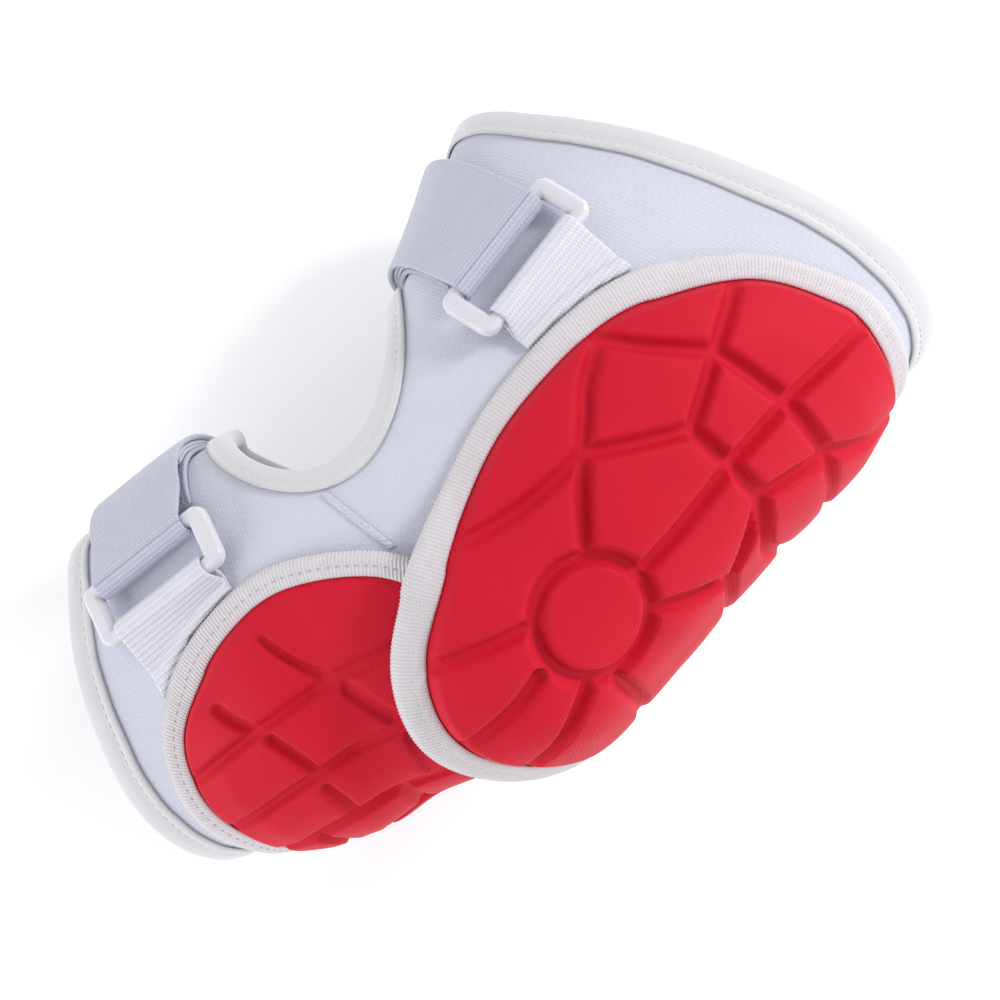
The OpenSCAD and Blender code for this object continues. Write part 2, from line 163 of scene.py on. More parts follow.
def distance_to(places: np.ndarray, line: np.ndarray) -> np.ndarray:
    """How far each place is from the nearest point of a finely divided line.

    Args:
        places: Any array of points.
        line: The line's points.

    Returns:
        The distances, in the shape of the array of points.
    """
    flat = places.reshape(-1, 3)
    found = np.full(len(flat), 1e9)
    for start in range(0, len(line), 64):
        part = line[start : start + 64]
        gap = ((flat[:, None, :] - part[None, :, :]) ** 2).sum(-1).min(1)
        found = np.minimum(found, gap)
    return np.sqrt(found).reshape(places.shape[:-1])


# ---- The sleeve's surface --------------------------------------------------------


@dataclass
class ArmSurface:
    """The outer surface of the sleeve: oval sections along a bent arm."""

    upper_len: float = 112.0
    forearm_len: float = 106.0
    section_power: float = 2.3
    opening_rise: float = 8.0
    elbow_centre: tuple[float, float, float] = (0.0, -9.0, 12.0)
    stations: np.ndarray = field(init=False)
    slopes: np.ndarray = field(init=False)

    def __post_init__(self) -> None:
        """Places the five sections that the others are blended from."""
        upper, fore = self.upper_len / 2, self.forearm_len / 2
        elbow = np.array(self.elbow_centre)
        upper_mid = elbow + upper * self.heading(12, -6)
        upper_end = upper_mid + upper * self.heading(16, -19)
        fore_mid = elbow - fore * self.heading(-18, 12)
        fore_end = fore_mid - fore * self.heading(-12, 25)
        self.stations = np.array([
            [-2 * fore, *fore_end, -14, 24, 51.5, 36],
            [-fore, *fore_mid, -12, 15, 57.5, 41],
            [0, *elbow, 3, 2, 58, 44],
            [upper, *upper_mid, 18, -11, 63, 46.5],
            [2 * upper, *upper_end, 24, -20, 75, 47],
        ])
        before, after = np.maximum(np.arange(5) - 1, 0), np.minimum(np.arange(5) + 1, 4)
        rise = self.stations[after] - self.stations[before]
        self.slopes = rise / rise[:, :1]

    @staticmethod
    def heading(turn: float, climb: float) -> np.ndarray:
        """A direction from its turn and its climb in degrees."""
        t, c = math.radians(turn), math.radians(climb)
        return np.array([math.cos(c) * math.cos(t), math.cos(c) * math.sin(t), math.sin(c)])

    def section(self, s: np.ndarray) -> np.ndarray:
        """The section at each distance s: s, centre, turn, pitch, half width, half depth."""
        st = self.stations
        i = np.clip(np.searchsorted(st[:, 0], s, side="right") - 1, 0, 3)
        h = (st[i + 1, 0] - st[i, 0])[..., None]
        f = (s - st[i, 0])[..., None] / h
        g, c = f * f, f * f * f
        return ((2 * c - 3 * g + 1) * st[i] + (c - 2 * g + f) * h * self.slopes[i]
                + (3 * g - 2 * c) * st[i + 1] + (c - g) * h * self.slopes[i + 1])

    def skin(self, s: np.ndarray, th: np.ndarray) -> np.ndarray:
        """The points of the surface itself."""
        s, th = np.broadcast_arrays(np.asarray(s, float), np.asarray(th, float))
        q = self.section(s)
        t, p, r = np.radians(q[..., 4]), np.radians(q[..., 5]), np.radians(th)
        across = np.stack([-np.sin(t), np.cos(t), 0 * t], -1)
        up = np.stack([-np.sin(p) * np.cos(t), -np.sin(p) * np.sin(t), np.cos(p)], -1)
        wide = q[..., 6] * signed_power(np.cos(r), self.section_power)
        deep = q[..., 7] * signed_power(np.sin(r), self.section_power)
        return q[..., 1:4] + wide[..., None] * across + deep[..., None] * up

    def along(self, s: np.ndarray, th: np.ndarray) -> np.ndarray:
        """How a point moves for each millimetre of s."""
        return (self.skin(np.asarray(s) + 1, th) - self.skin(np.asarray(s) - 1, th)) / 2

    def around(self, s: np.ndarray, th: np.ndarray) -> np.ndarray:
        """How a point moves for each degree of th."""
        return (self.skin(s, np.asarray(th) + 1) - self.skin(s, np.asarray(th) - 1)) / 2

    def normal(self, s: np.ndarray, th: np.ndarray) -> np.ndarray:
        """The direction out of the sleeve."""
        return unit(np.cross(self.around(s, th), self.along(s, th)))

    def at(self, s: np.ndarray, th: np.ndarray, height: np.ndarray) -> np.ndarray:
        """The points that stand a height off the surface."""
        return self.skin(s, th) + self.normal(s, th) * np.asarray(height, float)[..., None]

    def rise(self, th: np.ndarray) -> np.ndarray:
        """How much further both openings reach at th than at the crook."""
        flat = math.cos(math.radians(70))
        bulge = (np.cos(np.radians(np.asarray(th, float) - 110)) - flat) / (1 - flat)
        return self.opening_rise * np.clip(bulge, 0, None) ** 1.5

    def girth(self, s: float, th: np.ndarray) -> np.ndarray:
        """The distance round the sleeve from th 0 to each th, at one s."""
        fine = np.arange(-181.0, 361.0, 1.0)
        step = np.linalg.norm(np.diff(self.skin(s, fine), axis=0), axis=-1)
        run = np.concatenate([[0.0], np.cumsum(step)])
        return np.interp(th, fine, run - np.interp(0.0, fine, run))


ARM = ArmSurface()


# ---- Mesh helpers ----------------------------------------------------------------


def clear_selection() -> None:
    """Leaves nothing selected, so that the next operator acts on its own piece."""
    bpy.ops.object.select_all(action="DESELECT")


def activate(piece: bpy.types.Object) -> None:
    """Makes one piece the selected and active one."""
    clear_selection()
    piece.select_set(True)
    bpy.context.view_layer.objects.active = piece


def grid_piece(name: str, points: np.ndarray, pattern: np.ndarray, weld: bool = True) -> bpy.types.Object:
    """Makes a mesh of quads from rows of points.

    Args:
        name: The piece's name.
        points: Rows of points in millimetres. A closed row repeats its first point.
        pattern: For each point, its place in the weave, in millimetres.
        weld: Whether points in the same place become one.

    Returns:
        The new object, smooth shaded, with the pattern as its UV map.
    """
    rows, cols = points.shape[:2]
    r, c = np.meshgrid(np.arange(rows - 1), np.arange(cols - 1), indexing="ij")
    corner = (r * cols + c).ravel()
    faces = np.stack([corner, corner + 1, corner + cols + 1, corner + cols], -1)
    mesh = bpy.data.meshes.new(name)
    mesh.from_pydata((points.reshape(-1, 3) * MM).tolist(), [], faces.tolist())
    layer = mesh.uv_layers.new(name="Weave")
    layer.data.foreach_set("uv", pattern.reshape(-1, 2)[faces.ravel()].astype(np.float32).ravel())
    piece = bpy.data.objects.new(name, mesh)
    bpy.context.scene.collection.objects.link(piece)
    if weld:
        shape = bmesh.new()
        shape.from_mesh(mesh)
        bmesh.ops.remove_doubles(shape, verts=shape.verts, dist=2e-6)
        shape.to_mesh(mesh)
        shape.free()
    mesh.polygons.foreach_set("use_smooth", [True] * len(mesh.polygons))
    return piece


def close_up(piece: bpy.types.Object) -> bpy.types.Object:
    """Fills a piece's open ends and turns its faces outwards."""
    shape = bmesh.new()
    shape.from_mesh(piece.data)
    open_edges = [e for e in shape.edges if e.is_boundary]
    if open_edges:
        bmesh.ops.holes_fill(shape, edges=open_edges, sides=0)
    bmesh.ops.recalc_face_normals(shape, faces=shape.faces)
    shape.to_mesh(piece.data)
    shape.free()
    piece.data.polygons.foreach_set("use_smooth", [True] * len(piece.data.polygons))
    return piece


def thicken(piece: bpy.types.Object, thickness: float) -> None:
    """Gives an open sheet its thickness, inwards from the side that faces out."""
    activate(piece)
    wall = piece.modifiers.new("Wall", "SOLIDIFY")
    wall.thickness = thickness * MM
    wall.offset = -1.0
    wall.use_even_offset = False
    bpy.ops.object.modifier_apply(modifier=wall.name)


@dataclass(frozen=True)
class Thread:
    """A run of stitches: short rounded threads laid end to end."""

    length: float = 2.0
    gap: float = 1.1
    thickness: float = 0.5
    sides: int = 6

    def sew(self, name: str, line: np.ndarray, out: np.ndarray) -> bpy.types.Object:
        """Lays stitches along a line.

        Args:
            name: The piece's name.
            line: Points of the line, in millimetres.
            out: The direction out of the cloth at each point.

        Returns:
            One mesh that holds every stitch.
        """
        run = np.concatenate([[0.0], np.cumsum(np.linalg.norm(np.diff(line, axis=0), axis=1))])
        count = max(1, int(run[-1] // (self.length + self.gap)))
        centres = (np.arange(count) + 0.5) * run[-1] / count

        def place(where: np.ndarray, of: np.ndarray) -> np.ndarray:
            return np.stack([np.interp(where, run, of[:, k]) for k in range(3)], -1)

        share = np.array([-0.5, -0.42, -0.2, 0.2, 0.42, 0.5])
        fat = np.array([0.25, 0.75, 1.0, 1.0, 0.75, 0.25]) * self.thickness / 2
        sink = np.array([-0.35, -0.12, 0.0, 0.0, -0.12, -0.35]) * self.thickness
        middle = place((centres[:, None] + share * self.length).ravel(), line).reshape(count, 6, 3)
        up = unit(place(centres, out))[:, None, :]
        ahead = unit(middle[:, -1] - middle[:, 0])[:, None, :]
        side = np.cross(ahead, up)
        middle = middle + up * sink[None, :, None]
        angle = np.arange(self.sides) * 2 * math.pi / self.sides
        cos, sin = np.cos(angle)[None, None, :, None], np.sin(angle)[None, None, :, None]
        ring = middle[:, :, None] + fat[None, :, None, None] * (cos * side[:, :, None] + sin * up[:, :, None])
        points = ring.reshape(-1, 3)
        per, n = 6 * self.sides, self.sides
        one = [
            (r * n + k, r * n + (k + 1) % n, (r + 1) * n + (k + 1) % n, (r + 1) * n + k)
            for r in range(5)
            for k in range(n)
        ]
        caps = [tuple(range(n))[::-1], tuple(range(5 * n, 6 * n))]
        faces = [tuple(i + per * m for i in f) for m in range(count) for f in one + caps]
        mesh = bpy.data.meshes.new(name)
        mesh.from_pydata((points * MM).tolist(), [], faces)
        mesh.uv_layers.new(name="Weave")
        mesh.polygons.foreach_set("use_smooth", [True] * len(faces))
        piece = bpy.data.objects.new(name, mesh)
        bpy.context.scene.collection.objects.link(piece)
        return close_up(piece)


@dataclass(frozen=True)
class Band:
    """A woven band: its section has round edges and may have ribs along it."""

    width: float = 32.0
    thickness: float = 1.6
    ribs: int = 0
    rib_depth: float = 0.0
    selvedge: float = 0.0
    columns: int = 24

    def section(self) -> tuple[np.ndarray, np.ndarray]:
        """Places across the band, as shares of its width, and its half thickness at each."""
        if self.ribs:
            inner = np.linspace(-0.5, 0.5, self.ribs * 4 + 1) * (self.width - 2 * self.selvedge - 0.6)
            wave = 0.5 - 0.5 * np.cos(np.linspace(0, 2 * math.pi * self.ribs, self.ribs * 4 + 1))
            half = self.thickness / 2 - self.rib_depth * (1 - wave)
            edge = np.array([0.0, 0.12, 0.3, 0.55, 0.8]) * (self.selvedge + 0.3)
            thick = np.array([0.35, 0.75, 0.92, 0.97, 0.9]) * self.thickness / 2
            x = np.concatenate([-self.width / 2 + edge, inner, (self.width / 2 - edge)[::-1]])
            h = np.concatenate([thick, half, thick[::-1]])
            return x, h
        x = np.linspace(-1, 1, self.columns + 1)
        x = np.sign(x) * (1 - (1 - np.abs(x)) ** 1.5) * self.width / 2
        away = self.width / 2 - np.abs(x)
        return x, self.thickness / 2 * np.minimum(1.0, np.sqrt(np.clip(away / 0.7, 0, 1)) * 0.7 + 0.3)

    def lay(self, name: str, rows: np.ndarray, spacing: float, soft_start: bool = True, soft_end: bool = True,
            datum: float = 0.0) -> bpy.types.Object:
        """Lays the band along rows of points.

        Args:
            name: The piece's name.
            rows: Its middle layer: rows along it, each from one edge to the other, in millimetres.
            spacing: The distance between the finished rows.
            soft_start: Whether the band thins out at its first row.
            soft_end: Whether it thins out at its last row.
            datum: The share of the rows at which the weave's rows lie straight across the band.

        Returns:
            The closed band.
        """
        fine = open_spline(rows, spacing)
        share = np.linspace(-0.5, 0.5, fine.shape[1])
        x, half = self.section()
        across = x / self.width
        middle = np.stack([np.stack([np.interp(across, share, row[:, k]) for k in range(3)], -1) for row in fine])
        ahead = np.gradient(middle, axis=0)
        side = np.gradient(middle, axis=1)
        out = unit(np.cross(side, ahead))
        spine = fine[:, fine.shape[1] // 2]
        run = np.concatenate([[0.0], np.cumsum(np.linalg.norm(np.diff(spine, axis=0), axis=1))])
        steps = np.linalg.norm(np.diff(middle, axis=0), axis=-1)
        along = np.concatenate([0 * steps[:1], np.cumsum(steps, axis=0)])
        along = along - along[round(datum * (len(along) - 1))][None, :]
        lift = half[None, :] * np.ones((len(fine), 1))
        full = 9.0 + 0 * run
        from_end = np.minimum(run if soft_start else full, run[-1] - run if soft_end else full)
        lift = lift * np.minimum(1.0, 0.35 + from_end)[:, None]
        top, low = middle + out * lift[..., None], middle - out * lift[..., None]
        points = np.concatenate([top, low[:, ::-1], top[:, :1]], axis=1)
        u = np.concatenate([x, x[::-1], x[:1]])
        v = np.concatenate([along, along[:, ::-1], along[:, :1]], axis=1)
        pattern = np.stack(np.broadcast_arrays(u[None, :], v), -1)
        return close_up(grid_piece(name, points, pattern))


# ---- Finishes --------------------------------------------------------------------


class Wiring:
    """A material being made, with short calls for the nodes that the cloths share."""

    def __init__(self, name: str, colour: Colour, roughness: float, **fixed: float) -> None:
        """Starts a material whose shader has these values.

        Args:
            name: The material's name.
            colour: Its linear colour.
            roughness: Its roughness.
            fixed: Other sockets of the shader, with underscores for spaces.
        """
        self.material = bpy.data.materials.new(name)
        self.material.use_nodes = True
        self.nodes = self.material.node_tree.nodes
        self.links = self.material.node_tree.links
        self.shader = next(n for n in self.nodes if n.type == "BSDF_PRINCIPLED")
        self.shader.inputs["Base Color"].default_value = (*colour, 1.0)
        self.shader.inputs["Roughness"].default_value = roughness
        for key, value in fixed.items():
            self.shader.inputs[key.replace("_", " ").title().replace("Ior", "IOR")].default_value = value
        self.material.diffuse_color = (*colour, 1.0)

    def math(self, kind: str, a: object, b: object = 0.0, c: object = 0.0) -> bpy.types.NodeSocket:
        """A Math node of two or three values or sockets."""
        node = self.nodes.new("ShaderNodeMath")
        node.operation = kind
        for socket, value in zip(node.inputs, (a, b, c)):
            if isinstance(value, bpy.types.NodeSocket):
                self.links.new(value, socket)
            else:
                socket.default_value = float(value)
        return node.outputs[0]

    def weave(self) -> tuple[bpy.types.NodeSocket, bpy.types.NodeSocket]:
        """The two places in the weave, in millimetres."""
        uv = self.nodes.new("ShaderNodeUVMap")
        uv.uv_map = "Weave"
        split = self.nodes.new("ShaderNodeSeparateXYZ")
        self.links.new(uv.outputs[0], split.inputs[0])
        return split.outputs[0], split.outputs[1]

    def object_noise(self, scale: float, detail: float = 2.0) -> bpy.types.NodeSocket:
        """Noise in the object's own space, with so many lumps to the metre."""
        place = self.nodes.new("ShaderNodeTexCoord")
        noise = self.nodes.new("ShaderNodeTexNoise")
        noise.inputs["Scale"].default_value = scale
        noise.inputs["Detail"].default_value = detail
        self.links.new(place.outputs["Object"], noise.inputs["Vector"])
        return noise.outputs["Fac"]

    def wave(self, place: object, pitch: float, shift: object = 0.0) -> bpy.types.NodeSocket:
        """A sine from 0 to 1 that repeats every pitch millimetres."""
        angle = self.math("MULTIPLY_ADD", place, 2 * math.pi / pitch, shift)
        return self.math("MULTIPLY_ADD", self.math("SINE", angle), 0.5, 0.5)

    def shades(self, factor: bpy.types.NodeSocket, low: Colour, high: Colour) -> None:
        """Colours the cloth between two shades."""
        mix = self.nodes.new("ShaderNodeMix")
        mix.data_type = "RGBA"
        mix.inputs[6].default_value = (*low, 1.0)
        mix.inputs[7].default_value = (*high, 1.0)
        self.links.new(factor, mix.inputs[0])
        self.links.new(mix.outputs[2], self.shader.inputs["Base Color"])

    def rough(self, factor: bpy.types.NodeSocket, low: float, high: float) -> None:
        """Varies the roughness between two values."""
        self.links.new(self.math("MULTIPLY_ADD", factor, high - low, low), self.shader.inputs["Roughness"])

    def relief(self, height: bpy.types.NodeSocket, depth: float, strength: float = 1.0) -> None:
        """Raises the cloth by a height from 0 to 1, so many millimetres deep."""
        bump = self.nodes.new("ShaderNodeBump")
        bump.inputs["Strength"].default_value = strength
        bump.inputs["Distance"].default_value = depth * MM
        self.links.new(height, bump.inputs["Height"])
        self.links.new(bump.outputs[0], self.shader.inputs["Normal"])


def darker(colour: Colour, share: float) -> Colour:
    """The colour with that share of its light taken away."""
    return tuple(c * (1.0 - share) for c in colour)


@dataclass(frozen=True)
class Twill:
    """A fine diagonal weave with a soft sheen."""

    name: str
    colour: Colour
    pitch: float = 0.78
    depth: float = 0.035

    def material(self) -> bpy.types.Material:
        """The weave's material."""
        w = Wiring(self.name, self.colour, 0.62,
                   sheen_weight=0.06, sheen_roughness=0.4, specular_ior_level=0.16)
        u, v = w.weave()
        line = w.wave(w.math("ADD", u, w.math("MULTIPLY", v, 0.2)), self.pitch)
        cross = w.wave(w.math("SUBTRACT", v, w.math("MULTIPLY", u, 0.3)), self.pitch * 0.9)
        thread = w.math("MULTIPLY_ADD", cross, 0.3, w.math("MULTIPLY", line, 0.7))
        cloud = w.object_noise(90.0, 3.0)
        tone = w.math("ADD", w.math("MULTIPLY", thread, 0.5), w.math("MULTIPLY", cloud, 0.5))
        w.shades(tone, darker(self.colour, 0.13), tuple(min(1.0, c * 1.1) for c in self.colour))
        w.rough(thread, 0.68, 0.58)
        w.relief(thread, self.depth)
        return w.material


@dataclass(frozen=True)
class Knit:
    """A sports knit with fine wales and an embossed zigzag."""

    name: str
    colour: Colour
    pitch: float = 2.1
    depth: float = 0.12

    def material(self) -> bpy.types.Material:
        """The knit's material."""
        w = Wiring(self.name, self.colour, 0.8,
                   sheen_weight=0.3, sheen_roughness=0.5, specular_ior_level=0.25)
        u, v = w.weave()
        zig = w.wave(v, 4.4)
        emboss = w.wave(w.math("ADD", u, w.math("MULTIPLY", zig, 0.9)), self.pitch)
        dots = w.math("MULTIPLY", emboss, w.wave(v, 1.1))
        wales = w.math("MULTIPLY", w.wave(u, 0.5), w.wave(v, 0.6))
        cloud = w.object_noise(60.0, 3.0)
        height = w.math("ADD", w.math("MULTIPLY", dots, 0.6), w.math("MULTIPLY", wales, 0.4))
        tone = w.math("ADD", w.math("MULTIPLY", height, 0.55), w.math("MULTIPLY", cloud, 0.45))
        w.shades(tone, darker(self.colour, 0.13), self.colour)
        w.relief(height, self.depth)
        return w.material


@dataclass(frozen=True)
class Rib:
    """A ribbed tape or webbing: ribs one way, finer threads the other."""

    name: str
    colour: Colour
    rib_pitch: float = 1.1
    thread_pitch: float = 0.55
    ribs_along_v: bool = True
    depth: float = 0.18
    shade: float = 0.3
    roughness: float = 0.55

    def material(self) -> bpy.types.Material:
        """The tape's material."""
        w = Wiring(self.name, self.colour, self.roughness,
                   sheen_weight=0.2, sheen_roughness=0.4, specular_ior_level=0.35)
        u, v = w.weave()
        main, other = (v, u) if self.ribs_along_v else (u, v)
        rib = w.wave(main, self.rib_pitch)
        step = w.math("MULTIPLY", w.math("ROUND", w.math("MULTIPLY", main, 1 / self.rib_pitch)), math.pi)
        thread = w.wave(other, self.thread_pitch, step)
        cloud = w.object_noise(220.0, 2.0)
        height = w.math("ADD", w.math("MULTIPLY", rib, 0.7), w.math("MULTIPLY", thread, 0.3))
        tone = w.math("ADD", w.math("MULTIPLY", height, 0.75), w.math("MULTIPLY", cloud, 0.25))
        w.shades(tone, darker(self.colour, self.shade), self.colour)
        w.rough(height, self.roughness + 0.12, self.roughness - 0.08)
        w.relief(height, self.depth)
        return w.material


@dataclass(frozen=True)
class Nap:
    """A brushed or looped surface: pile, foam skin or a lining."""

    name: str
    colour: Colour
    grain: float = 900.0
    depth: float = 0.25
    shade: float = 0.35
    sheen: float = 0.4

    def material(self) -> bpy.types.Material:
        """The nap's material."""
        w = Wiring(self.name, self.colour, 0.9,
                   sheen_weight=self.sheen, sheen_roughness=0.6, specular_ior_level=0.2)
        fine, coarse = w.object_noise(self.grain, 4.0), w.object_noise(self.grain / 9, 2.0)
        tone = w.math("ADD", w.math("MULTIPLY", fine, 0.7), w.math("MULTIPLY", coarse, 0.3))
        w.shades(tone, darker(self.colour, self.shade), self.colour)
        w.relief(fine, self.depth)
        return w.material


@dataclass(frozen=True)
class Moulded:
    """A milky injection-moulded plastic with a faint grain."""

    name: str
    colour: Colour

    def material(self) -> bpy.types.Material:
        """The plastic's material."""
        w = Wiring(self.name, self.colour, 0.32, subsurface_weight=0.35, subsurface_scale=0.004,
                   coat_weight=0.15, coat_roughness=0.2, specular_ior_level=0.5)
        grain, cloud = w.object_noise(2600.0, 2.0), w.object_noise(120.0, 2.0)
        w.shades(cloud, darker(self.colour, 0.04), self.colour)
        w.rough(cloud, 0.28, 0.4)
        w.relief(grain, 0.02, 0.6)
        return w.material


class Wardrobe:
    """Every finish of the guard, each made once."""

    FINISHES = {
        Slot.KNIT: Knit("knit", (0.69, 0.705, 0.81)),
        Slot.ELASTIC_TAPE: Rib("elastic_tape", (0.70, 0.70, 0.73), 0.7, 0.5, True, 0.05, 0.08, 0.42),
        Slot.RIBBED_TAPE: Rib("ribbed_tape", (0.82, 0.78, 0.82), 1.15, 0.6, True, 0.2, 0.3, 0.5),
        Slot.RED_FABRIC: Twill("red_fabric", (0.60, 0.007, 0.027)),
        Slot.FOAM: Nap("foam", (0.10, 0.10, 0.11), 1400.0, 0.1, 0.3, 0.1),
        Slot.LINER: Nap("liner", (0.62, 0.63, 0.70), 700.0, 0.15, 0.2, 0.3),
        Slot.WEBBING: Rib("webbing", (0.78, 0.78, 0.86), 1.8, 1.1, True, 0.3, 0.16, 0.55),
        Slot.ELASTIC_STRAP: Rib("elastic_strap", (0.60, 0.61, 0.74), 1.25, 1.3, True, 0.2, 0.26, 0.6),
        Slot.HOOK_AND_LOOP: Nap("hook_and_loop", (0.75, 0.76, 0.84), 1100.0, 0.4, 0.4, 0.5),
        Slot.LOOP_PLASTIC: Moulded("loop_plastic", (0.71, 0.71, 0.77)),
    }

    def __init__(self) -> None:
        """Makes the materials, and the thread's."""
        self.cloth = {slot: finish.material() for slot, finish in self.FINISHES.items()}
        self.grey_thread = Nap("grey_thread", (0.52, 0.49, 0.55), 2500.0, 0.05, 0.3, 0.2).material()
        self.white_thread = Nap("white_thread", (0.80, 0.80, 0.86), 2500.0, 0.05, 0.2, 0.2).material()

    def dress(self, piece: bpy.types.Object, slot: Slot, thread: bpy.types.Material | None = None) -> None:
        """Gives a piece its finish, or thread in that slot.

        Args:
            piece: The piece.
            slot: The slot whose finish it gets, when no thread is given.
            thread: The material, where it is sewing thread.
        """
        piece.data.materials.clear()
        piece.data.materials.append(thread or self.cloth[slot])


def report(piece: bpy.types.Object) -> None:
    """Logs a finished piece."""
    LOG.info("%s: %d faces", piece.name, len(piece.data.polygons))


# ---- Sleeve ----------------------------------------------------------------------


@dataclass
class Sleeve:
    """The knit tube with its crook window, hems, window binding and seam."""

    wardrobe: Wardrobe
    window_len: float = 92.0
    window_th: float = -15.0
    window_top: float = 57.0
    window_under: float = 50.0
    window_skew: float = 18.0
    window_power: float = 2.4
    row_step: float = 1.7
    columns: int = 170
    tape: float = 0.9
    bend_start: tuple[float, float, float] = (0.035, 0.0, 0.0)
    bend_end: tuple[float, float, float] = (-0.040, 0.0, 0.0)

    def window_edge(self, angle: np.ndarray) -> tuple[np.ndarray, np.ndarray]:
        """The window's edge at an angle in degrees, 0 at its upper arm end: (s, th)."""
        a = np.radians(angle)
        t, v = signed_power(np.cos(a), self.window_power), signed_power(np.sin(a), self.window_power)
        reach = np.where(v > 0, self.window_top - self.window_skew * t, self.window_under)
        return self.window_len / 2 * t, self.window_th + v * reach

    def cut_edge(self, angle: np.ndarray) -> tuple[np.ndarray, np.ndarray]:
        """The window's edge with the cut on its under side."""
        s, th = self.window_edge(angle)
        return s - self.cut_back(s, th), th

    def cut_back(self, s: np.ndarray, th: np.ndarray) -> np.ndarray:
        """How much further down the forearm the window reaches on its hidden under side."""
        turned = (np.asarray(th) + 180) % 360 - 180
        low = smooth((self.window_th + 12 - turned) / 30) * smooth((turned + 150) / 70)
        return 8.0 * low * smooth((-np.asarray(s) - 6) / 38) * smooth((np.asarray(s) + 88) / 38)

    def bends(self, piece: bpy.types.Object) -> None:
        """Bakes a piece's placement into its mesh; the piece is not bent over the elbow."""
        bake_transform(piece)

    def body(self) -> bpy.types.Object:
        """The knit tube in one piece, open at the window."""
        half = self.window_len / 2
        low = np.arange(-ARM.forearm_len, -half, self.row_step)
        high = np.arange(ARM.upper_len, half, -self.row_step)[::-1]
        share = signed_power(np.linspace(-1, 1, 71)[1:-1], 2 * 2 / self.window_power)
        even = np.degrees(np.arccos(np.clip(share, -1, 1)))
        near = np.arange(0.8, 16, 1.2)
        angle = np.sort(np.concatenate([even, near, 180 - near]))[::-1]
        s_mid, top = self.window_edge(angle)
        _, under = self.window_edge(-angle)
        tip = np.array([self.window_th])
        s = np.concatenate([low, [-half], s_mid, [half], high])
        start = np.concatenate([0 * low + self.window_th, tip, top, tip, 0 * high + self.window_th])
        finish = np.concatenate([0 * low + self.window_th, tip, under, tip, 0 * high + self.window_th]) + 360
        share = np.linspace(0, 1, self.columns + 1)[None, :]
        opened = (start - self.window_th)[:, None] * (1 - smooth(share / 0.36))
        closed = (finish - self.window_th - 360)[:, None] * (1 - smooth((1 - share) / 0.36))
        th = self.window_th + 360 * share + opened + closed
        end = np.where(s[:, None] > 0, ARM.upper_len, ARM.forearm_len)
        out = np.clip((np.abs(s[:, None]) - half) / (end - half), 0, 1)
        s = s[:, None] + np.sign(s[:, None]) * out * ARM.rise(th) - self.cut_back(s[:, None], th)
        pattern = np.stack([ARM.girth(0.0, th - 0.0), s], -1)
        tube = grid_piece("sleeve", ARM.at(s, th, 0.0 * th), pattern)
        thicken(tube, SLEEVE_T)
        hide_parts("upper_sleeve", "elbow_sleeve", "forearm_sleeve")
        self.wardrobe.dress(tube, Slot.KNIT)
        self.bends(tube)
        return tube

    def fold_profile(self, width: float, air: float) -> np.ndarray:
        """The folded tape's section: distance in from the edge and height off the sleeve."""
        t, under = self.tape, -SLEEVE_T
        top = air + t
        over = [(width, air + 0.1), (width + 0.1, air + 0.45), (width - 0.5, top), (width * 0.72, top + 0.05),
                (width * 0.62, top - 0.22), (width * 0.5, top + 0.08), (width * 0.25, top + 0.15), (0.6, top)]
        middle, r = under / 2, -under / 2 + air + t
        bend = [(-r * 0.62 * math.sin(a), middle + r * math.cos(a)) for a in np.radians(np.arange(15, 180, 18.75))]
        below = [(0.6, under - air - t), (width * 0.4, under - air - t), (width, under - air - t),
                 (width + 0.1, under - air - 0.4),
                 (width, under - air), (1.5, under - air), (0.2, under - air), (-air, under + 0.4),
                 (-air, -0.4), (0.2, air), (1.5, air),
                 (width, air + 0.1)]
        return np.array(over + bend + below)

    def hem(self, name: str, edge: float, inward: float, cuff: Cuff) -> list[bpy.types.Object]:
        """The folded elastic round one opening, with its row of stitches."""
        th = np.linspace(0, 360, 241)
        wave = 0.12 * np.sin(np.radians(th * 9)) + 0.08 * np.sin(np.radians(th * 23 + 40))
        profile = self.fold_profile(HEM_W, 0.35)
        edge = edge - inward * ARM.rise(th)[:, None]
        s = edge + inward * (profile[None, :, 0] + np.where(profile[None, :, 0] > 3, wave[:, None], 0))
        height = profile[None, :, 1] + 0 * s
        points = ARM.at(s, np.broadcast_to(th[:, None], s.shape), height)
        run = ARM.girth(float(edge[0, 0]), th - 180)
        pattern = np.stack(np.broadcast_arrays(profile[None, :, 0] + 0 * s, run[:, None]), -1)
        band = close_up(grid_piece(name, points, pattern))
        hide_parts(name)
        self.wardrobe.dress(band, Slot.ELASTIC_TAPE)
        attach(band, cuff.value)
        place = edge[:, 0] + inward * HEM_W * 0.62
        height = np.full(th.shape, 0.35 + self.tape - 0.12)
        stitches = Thread(1.9, 1.0, 0.42).sew(name + "_stitches", ARM.at(place, th, height), ARM.normal(place, th))
        self.wardrobe.dress(stitches, Slot.ELASTIC_TAPE, self.wardrobe.white_thread)
        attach(stitches, cuff.value)
        return [band, stitches]

    def window_binding(self) -> list[bpy.types.Object]:
        """The folded elastic round the crook window, with its row of stitches."""
        angle = np.linspace(0, 360, 241)
        s, th = self.cut_edge(angle)
        ahead, behind = self.cut_edge(angle + 1), self.cut_edge(angle - 1)
        u = np.linalg.norm(ARM.along(s, th), axis=-1)
        v = np.linalg.norm(ARM.around(s, th), axis=-1)
        way = unit(np.stack([(ahead[0] - behind[0]) * u, (ahead[1] - behind[1]) * v], -1))

        def off(distance: np.ndarray, height: np.ndarray) -> np.ndarray:
            off_s, off_th = distance * (way[:, 1] / u)[:, None], distance * (way[:, 0] / v)[:, None]
            return ARM.at(s[:, None] + off_s, th[:, None] - off_th, height)

